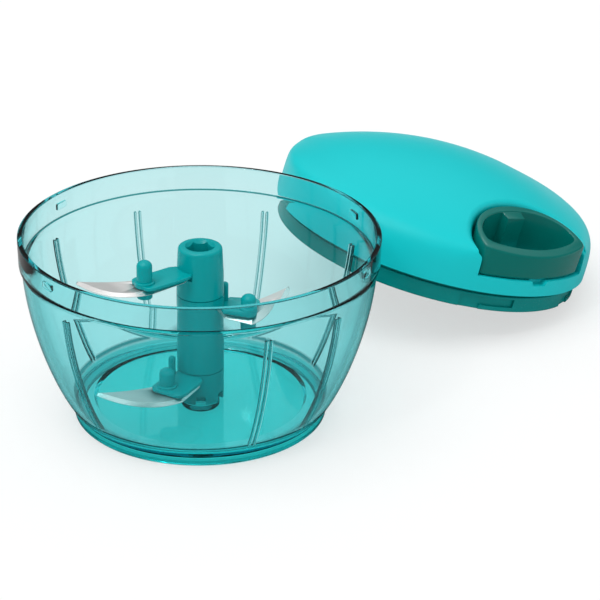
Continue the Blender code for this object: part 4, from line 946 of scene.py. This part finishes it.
def dome_surface(x, y):
    """Height of the dome's outer skin over a point, found by halving."""
    angle, reach = atan2(y, x), hypot(x, y)
    low, high = 0.0, float(CROWN_RINGS + SIDE_RINGS)
    for _ in range(24):
        ring = (low + high) / 2
        point = dome_point(angle, ring, DOME_R, 0.0)
        low, high = (ring, high) if hypot(*point[:2]) < reach else (low, ring)
    return point[2]


def pocket_solid(grow, low, high, rise_steps=12):
    """The pocket's shape grown by a margin, open to the front, its lip curling out to meet the dome."""
    front = DOME_R + 5 * MM
    outlines = []
    for outline in (handle_outline(grow), handle_outline(grow + LIP_R)):
        outlines.append(outline + [(front, outline[-1][1]), (front, outline[0][1])])
    rows = [[(x, y, low) for x, y in outlines[0]]]
    for step in range(rise_steps + 1):
        turn = TAU / 4 * step / rise_steps
        row = []
        for (x, y), (far_x, far_y) in zip(*outlines):
            share = min(max((LIP_END_X - x) / LIP_FADE, LIP_LEAST), 1.0)
            out = share * (1 - cos(turn))
            sunk = share * LIP_R * (1 - sin(turn))
            height = max(dome_surface(far_x, far_y) - sunk, low + 2 * MM + 0.1 * MM * step)
            row.append((x + (far_x - x) * out, y + (far_y - y) * out, height))
        rows.append(row)
    rows.append([(x, y, high) for x, y, _ in rows[-1]])
    mesh = bmesh.new()
    face = mesh.faces.new([mesh.verts.new(point) for point in rows[0]])
    for before, after in zip(rows, rows[1:]):
        raised = bmesh.ops.extrude_face_region(mesh, geom=[face])
        if before != rows[0]:
            bmesh.ops.delete(mesh, geom=[face], context="FACES_ONLY")
        face = only(bmesh.types.BMFace, raised)[0]
        for vert in face.verts:
            gaps = [(vert.co - Vector(point)).length_squared for point in before]
            vert.co = after[gaps.index(min(gaps))]
    return outward(mesh)


def settle(piece, body, slot, *nodes):
    """Take a piece modelled on the lid's axes to its place, and tie it there."""
    piece.data.transform(lid_place)
    fit_piece(smooth(piece), body, slot, *nodes)


def at_screws(radius, low, high):
    """The same hole or boss at each screw."""
    return joined(*[moved(drilled(radius, low, high), *place) for place in SCREW_PLACES])


def on_cord(mesh, x):
    """Turn a shape about Z over to the cord's line, and take it along that to a place."""
    return moved(spun(mesh, 90, "Y"), x, 0, CORD_Z)


satin_turquoise = moulded("satin_turquoise", TURQUOISE, 0.42, sheen=0.22, mottle=0.02, grain=2600.0,
                          grain_height=0.015 * MM)
shell = dome_skin(DOME_R, 0.0)
lining = dome_skin(DOME_R - DOME_WALL, DOME_WALL)
bmesh.ops.reverse_faces(lining, faces=lining.faces)
shell = joined(shell, lining)
bmesh.ops.bridge_loops(shell, edges=[e for e in shell.edges if e.is_boundary])
dome = new_object("lid_dome_shell", outward(shell), satin_turquoise)

pocket_floor = HANDLE_BOTTOM - FIT
above_dome = DOME_HEIGHT + PAST
liner = new_object("liner", pocket_solid(POCKET_CLEAR + POCKET_WALL, pocket_floor - POCKET_WALL, above_dome))
carve(liner, (KEEP, dome_solid()))
bosses = new_object("bosses", at_screws(SCREW_BOSS_R, BASE_FLOOR_TOP + FIT, DOME_HEIGHT))
carve(bosses, (KEEP, dome_solid()))
block_low, block_high = SPIGOT_RISE + FIT, pocket_floor - FIT
block_x = DOME_R - DOME_WALL / 2 - NOTCH_BACK[0] / 2 - 0.4 * MM
notch_block = moved(block(*NOTCH_BACK, block_high - block_low), block_x, 0, (block_low + block_high) / 2)

notch = slab(oblong(DOME_R - NOTCH_REACH, DOME_R + 2 * PAST, -1.0, 1.0),
             pocket_floor - NOTCH_DEPTH, pocket_floor + 2 * PAST)
for vert in notch.verts:
    half_width = NOTCH_FLOOR_WIDTH / 2 if vert.co.z < pocket_floor else NOTCH_WIDTH / 2
    vert.co.y = copysign(half_width, vert.co.y)
soften(notch, NOTCH_ROUND)
pocket_back = HANDLE_SHOULDER - HANDLE_BACK - POCKET_CLEAR


def as_bmesh(piece):
    """Take an object apart again into a bmesh."""
    mesh = bmesh.new()
    mesh.from_mesh(piece.data)
    discard(piece)
    return mesh


carve(dome, (JOIN, as_bmesh(liner)), (JOIN, as_bmesh(bosses)), (JOIN, notch_block),
      (CUT, pocket_solid(POCKET_CLEAR, pocket_floor, above_dome + 2 * PAST)), (CUT, notch),
      (CUT, at_screws(SCREW_R + FIT, BASE_FLOOR_TOP - 2 * PAST, SCREW_TOP + FIT)),
      (CUT, on_cord(drilled(EYELET_R + FIT, -HOLE_REACH, HOLE_REACH), pocket_back)))
settle(dome, "lid", "turquoise", "lid_dome")


# Ring and floor of the lid
# A darker, slightly glossy moulding that closes the dome from below. Its skirt drops into the
# bowl's collar, and four grooves in it turn over the bowl's lugs.
RING_WALL = 2.2 * MM
SPIGOT_WALL = 1.6 * MM
JOURNAL_BORE_R = 5.2 * MM
GROOVE_DEPTH = 0.95 * MM
GROOVE_ENTRY = 8.0 * MM
GROOVE_RUN = 15.0                   # degrees
GROOVE_HEIGHT = 3.2 * MM
GROOVE_Z = -4.2 * MM
SHADOW_STEP = (1.2 * MM, 1.7 * MM)  # depth and height of the dark line under the dome's edge
RING_TEAL = srgb(0, 140, 137)

ring_plastic = moulded("ring_plastic", RING_TEAL, 0.26)
skirt_low = -RING_HEIGHT
base_low = BASE_FLOOR_TOP - BASE_FLOOR
skirt_in = RING_R - RING_WALL
spigot_out = DOME_R - DOME_WALL - FIT
spigot_in = spigot_out - SPIGOT_WALL
step_r, step_z = RING_R - SHADOW_STEP[0], -SHADOW_STEP[1]
base_outline = [
    (skirt_in + 0.4 * MM, skirt_low), (RING_R - 0.6 * MM, skirt_low),
    *bezier([(RING_R - 0.6 * MM, skirt_low), (RING_R, skirt_low), (RING_R, skirt_low + 0.6 * MM)], 4, True),
    (RING_R, step_z - 0.2 * MM), (RING_R - 0.2 * MM, step_z), (step_r, step_z), (step_r, -FIT),
    (spigot_out, -FIT), (spigot_out, SPIGOT_RISE), (spigot_in, SPIGOT_RISE), (spigot_in, BASE_FLOOR_TOP),
    (JOURNAL_BORE_R, BASE_FLOOR_TOP), (JOURNAL_BORE_R, base_low), (skirt_in - 1.0 * MM, base_low),
    (skirt_in, base_low - 1.0 * MM), (skirt_in, skirt_low + 0.4 * MM)]
base = new_object("lid_base_moulding", turned(base_outline), ring_plastic)
entry_top, entry_low = GROOVE_Z + GROOVE_HEIGHT / 2, skirt_low - 2 * PAST
grooves = []
for azimuth in LUG_AZIMUTHS:
    entry = block(2 * GROOVE_DEPTH, GROOVE_ENTRY, entry_top - entry_low)
    start = azimuth + degrees(GROOVE_ENTRY / 2 / RING_R) - 1
    track = arc(RING_R + 2 * PAST, start, start + GROOVE_RUN, 12)
    track += arc(RING_R - GROOVE_DEPTH, start + GROOVE_RUN, start, 12)
    grooves += [(CUT, spun(moved(entry, RING_R, 0, (entry_top + entry_low) / 2), azimuth)),
                (CUT, slab(track, GROOVE_Z - GROOVE_HEIGHT / 2, entry_top - 0.01 * MM))]
carve(base, *grooves, (CUT, at_screws(SCREW_R + FIT, base_low - 2 * PAST, BASE_FLOOR_TOP + 2 * PAST)))
settle(base, "lid", "ring_teal", "lid_base")


# Lid screws
# Four self-tapping screws hold the ring's floor to the bosses inside the dome.
# They are plated steel with a low round head and a cross recess.
SCREW_HEAD_R = 2.8 * MM
SCREW_HEAD = 1.4 * MM
HEAD_FLAT_R = 1.2 * MM
HEAD_EDGE = 0.3 * MM
RECESS_BAR = (3.0 * MM, 0.6 * MM, 1.4 * MM)

head_top = base_low - FIT
head_low = head_top - SCREW_HEAD
screw_outline = [
    (0.0, head_low),
    *bezier([(HEAD_FLAT_R, head_low), (SCREW_HEAD_R, head_low), (SCREW_HEAD_R, head_top - HEAD_EDGE)], 6),
    (SCREW_HEAD_R, head_top), (SCREW_R, head_top), (SCREW_R, SCREW_TOP - 1 * MM), (0.0, SCREW_TOP)]
for number, place in enumerate(SCREW_PLACES, 1):
    screw = new_object("screw_%d_steel" % number, turned(screw_outline, 32), turned_steel)
    carve(screw, *[(CUT, moved(spun(block(*RECESS_BAR), turn), 0, 0, head_low)) for turn in (0, 90)])
    screw.data.transform(Matrix.Translation((*place, 0.0)))
    settle(screw, "lid", "steel", "screw_%d" % number)


# Pull handle
# A glossy dark green loop for two fingers. Its top face slopes with the dome, its edges are
# well rounded, and a boss inside its back wall hides the stop on the cord.
HANDLE_FRONT_TOP = 15.2 * MM
HANDLE_SLOPE = 0.36
HANDLE_ROUND = 0.9 * MM
LIP_ANGLE = radians(50)             # the opening's edge is rounded where it is sharper than this
LIP_NEAR = 0.05 * MM                # and this near the handle's top
HANDLE_WALL = 3.0 * MM
HANDLE_FRONT_WALL = 3.8 * MM
OPENING_CORNER = 5.0 * MM
ANCHOR_WIDTH = 8.6 * MM
ANCHOR_ROOT_WIDTH = 13.0 * MM
ANCHOR_DEPTH = 3.4 * MM
ANCHOR_SINK = 0.35 * MM             # below the handle's top
ANCHOR_ROUND = 0.6 * MM
ANCHOR_BACK_WALL = 1.5 * MM
ANCHOR_POCKET = (3.0 * MM, 4.4 * MM)
ANCHOR_POCKET_TOP = 12.6 * MM
CORD_R = 0.8 * MM
DARK_GREEN = srgb(1, 114, 106)

handle_plastic = moulded("handle_plastic", DARK_GREEN, 0.14, sheen=0.5)


def handle_top(x):
    return HANDLE_FRONT_TOP + HANDLE_SLOPE * (HANDLE_FRONT_R - x)


def sloped(outline, sink, width):
    """A soft-edged block of the handle, its top sunk below the handle's slope."""
    mesh = slab(outline, HANDLE_BOTTOM, handle_top(handle_rear))
    for vert in mesh.verts:
        if vert.co.z > HANDLE_BOTTOM + FIT:
            vert.co.z = handle_top(vert.co.x) - sink
    return soften(mesh, width, 4)


handle_rear = HANDLE_SHOULDER - HANDLE_BACK
loop_piece = new_object("pull_handle_loop", sloped(handle_outline(0.0, HANDLE_FRONT_R), 0.0, HANDLE_ROUND),
                        handle_plastic)
opening_outline = handle_outline(-HANDLE_WALL, HANDLE_FRONT_R - HANDLE_FRONT_WALL, OPENING_CORNER,
                                 HANDLE_SHOULDER - OPENING_CORNER / 2)
opening = slab(opening_outline, HANDLE_BOTTOM - 2 * PAST, handle_top(handle_rear) + 3 * PAST)
anchor_far = handle_rear + HANDLE_WALL + ANCHOR_DEPTH
anchor_near = handle_rear + 1.2 * MM
flank = bezier([(anchor_near, ANCHOR_ROOT_WIDTH / 2), (anchor_near + 1.6 * MM, ANCHOR_WIDTH / 2),
                (anchor_far, ANCHOR_WIDTH / 2)], 10)
anchor = sloped([(x, -y) for x, y in flank] + flank[::-1], ANCHOR_SINK, ANCHOR_ROUND)
stop_x = handle_rear + ANCHOR_BACK_WALL
stop_depth, stop_width = ANCHOR_POCKET
stop_pocket = slab(oblong(stop_x, stop_x + stop_depth, -stop_width / 2, stop_width / 2),
                   HANDLE_BOTTOM - 2 * PAST, ANCHOR_POCKET_TOP)
cord_bore = on_cord(drilled(CORD_R + FIT, -4 * MM, 4 * MM), handle_rear - 2 * MM)
carve(loop_piece, (CUT, opening), (JOIN, anchor), (CUT, stop_pocket), (CUT, cord_bore))
inner_edge = bmesh.new()
inner_edge.from_mesh(loop_piece.data)
lip = []
for edge in inner_edge.edges:
    middle = (edge.verts[0].co + edge.verts[1].co) / 2
    on_top = abs(middle.z - handle_top(middle.x)) < LIP_NEAR
    if on_top and len(edge.link_faces) == 2 and edge.calc_face_angle(0.0) > LIP_ANGLE:
        lip.append(edge)
rounded(inner_edge, lip, HANDLE_ROUND, 4).to_mesh(loop_piece.data)
inner_edge.free()
settle(loop_piece, "handle", "dark_green", "pull_handle")


# Cord
# A white braided cord, 1.6 mm thick. It leaves the drum, runs through a steel eyelet in the
# pocket's wall and ends in a crimped stop inside the handle's boss.
CORD_STEPS = 24                     # along its straight part, which stretches
DRUM_CORE_R = 20.0 * MM
STOP_R = 1.3 * MM
STOP_ROUND = 0.4 * MM
EYELET_FLANGE_R = 3.0 * MM
EYELET_FLANGE = 0.7 * MM
EYELET_BORE = 1.5 * MM
EYELET_ROUND = 0.25 * MM
CORD_WHITE = srgb(226, 226, 220)

braid = Finish("braided_cord")
weave = braid.add("TexWave", {"bands_direction": "DIAGONAL"},
                  {"Vector": braid.place(), "Scale": 420.0, "Distortion": 1.0})
braid.paint(Base_Color=braid.mix(weave, srgb(190, 190, 184), CORD_WHITE), Roughness=0.85,
            Normal=braid.bump(weave, 0.15 * MM, 0.8))
cord_layer_r = DRUM_CORE_R + FIT + 2 * CORD_R + FIT + CORD_R
exit_x = pocket_back - POCKET_WALL - EYELET_FLANGE
straight_x = exit_x - 2.0 * MM
bend = (straight_x - 2.5 * MM, -0.1 * MM)
leave = atan2(bend[1], bend[0]) - acos(cord_layer_r / hypot(*bend))
start = (cord_layer_r * cos(leave), cord_layer_r * sin(leave))
cord_path = bezier([start, bend, (straight_x, 0.0)], 14)
cord_path += [(straight_x + (stop_x - straight_x) * step / CORD_STEPS, 0.0)
              for step in range(1, CORD_STEPS + 1)]
cord_mesh = bmesh.new()
circle = bmesh.ops.create_circle(cord_mesh, segments=16, radius=CORD_R)["verts"]
heading = Vector((*bend, 0.0)) - Vector((*start, 0.0))
bmesh.ops.rotate(cord_mesh, matrix=heading.to_track_quat("Z", "Y").to_matrix(), verts=circle)
bmesh.ops.translate(cord_mesh, vec=(*start, CORD_Z), verts=circle)
cord_mesh.faces.new(circle)
front_edges = list(cord_mesh.edges)
for index in range(1, len(cord_path)):
    here, there = Vector((*cord_path[index - 1], 0.0)), Vector((*cord_path[index], 0.0))
    raised = bmesh.ops.extrude_edge_only(cord_mesh, edges=front_edges)
    ring = only(bmesh.types.BMVert, raised)
    front_edges = only(bmesh.types.BMEdge, raised)
    bmesh.ops.translate(cord_mesh, vec=there - here, verts=ring)
    onward = Vector((*cord_path[min(index + 1, len(cord_path) - 1)], 0.0)) - there
    onward = onward if onward.length > 0 else there - here
    turn = heading.rotation_difference(onward).to_matrix()
    bmesh.ops.rotate(cord_mesh, cent=(*cord_path[index], CORD_Z), matrix=turn, verts=ring)
    heading = onward
bmesh.ops.edgeloop_fill(cord_mesh, edges=front_edges)
cord = new_object("pull_cord", outward(cord_mesh), braid)
cord.data.transform(lid_place)
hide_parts("cord_run", "cord_end")
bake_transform(cord)

stop = on_cord(soften(drilled(STOP_R, -STOP_R, STOP_R, 32), STOP_ROUND), stop_x + FIT + STOP_R)
settle(new_object("cord_stop", stop, braid), "handle", "cord", "cord_knot")

flange_in = -POCKET_WALL - FIT
flange_end = flange_in - EYELET_FLANGE
eyelet = turned([(EYELET_BORE, flange_end), (EYELET_FLANGE_R, flange_end), (EYELET_FLANGE_R, flange_in),
                 (EYELET_R, flange_in), (EYELET_R, FIT), (EYELET_BORE, FIT)], 48)
eyelet = on_cord(soften(eyelet, EYELET_ROUND), pocket_back)
settle(new_object("cord_eyelet_steel", eyelet, turned_steel), "lid", "steel", "cord_eyelet")


# Drive inside the lid
# The cord drum, its winding, the flat recoil spring and the cover over it are all of nylon,
# cord and spring steel. They are closed in between the dome and its floor.
nylon = moulded("white_nylon", srgb(232, 232, 226), 0.45, mottle=0.02)
for node_name, finish in (("cord_drum", nylon), ("spring_cover", nylon), ("cord_winding", braid),
                          ("recoil_spring", turned_steel), ("shaft_clip", turned_steel)):
    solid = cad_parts[node_name]
    solid.data.materials.clear()
    solid.data.materials.append(finish.material)


# Drive shaft
# White nylon, turned at its bearing and hexagonal below it, where it plugs into the blade unit.
# Its tip is chamfered so that it finds the socket.
DRUM_BOTTOM = 5.0 * MM
DRUM_WEB = 1.6 * MM
HUB_R = 10.0 * MM
HUB_BOTTOM = 0.4 * MM
JOURNAL_R = 4.8 * MM
KEY_FLATS = 11.0 * MM
SPINDLE_R = 2.5 * MM
SPINDLE_TOP = 13.0 * MM
OVERLAP = 0.5 * MM                  # of the shapes that the shaft is joined from
WASHER_THICKNESS = 1.0 * MM

journal_low = base_low - FIT - WASHER_THICKNESS - FIT
hub_top = DRUM_BOTTOM - FIT
key_top = DRUM_BOTTOM + DRUM_WEB - FIT
hub = soften(turned([(0.0, journal_low), (JOURNAL_R, journal_low), (JOURNAL_R, HUB_BOTTOM),
                     (HUB_R, HUB_BOTTOM), (HUB_R, hub_top), (0.0, hub_top)], 72), 0.3 * MM)
key = soften(slab(hexagon(KEY_FLATS), hub_top - OVERLAP, key_top), 0.3 * MM)
tip = soften(slab(hexagon(SHAFT_FLATS), -RING_HEIGHT - SHAFT_PROUD, journal_low + OVERLAP), 0.5 * MM)
spindle = soften(drilled(SPINDLE_R, key_top - OVERLAP, SPINDLE_TOP, 48), 0.4 * MM)
shaft = new_object("drive_shaft_moulding", hub, nylon)
carve(shaft, (JOIN, key), (JOIN, tip), (JOIN, spindle))
settle(shaft, "drum", "white_nylon", "drive_shaft")
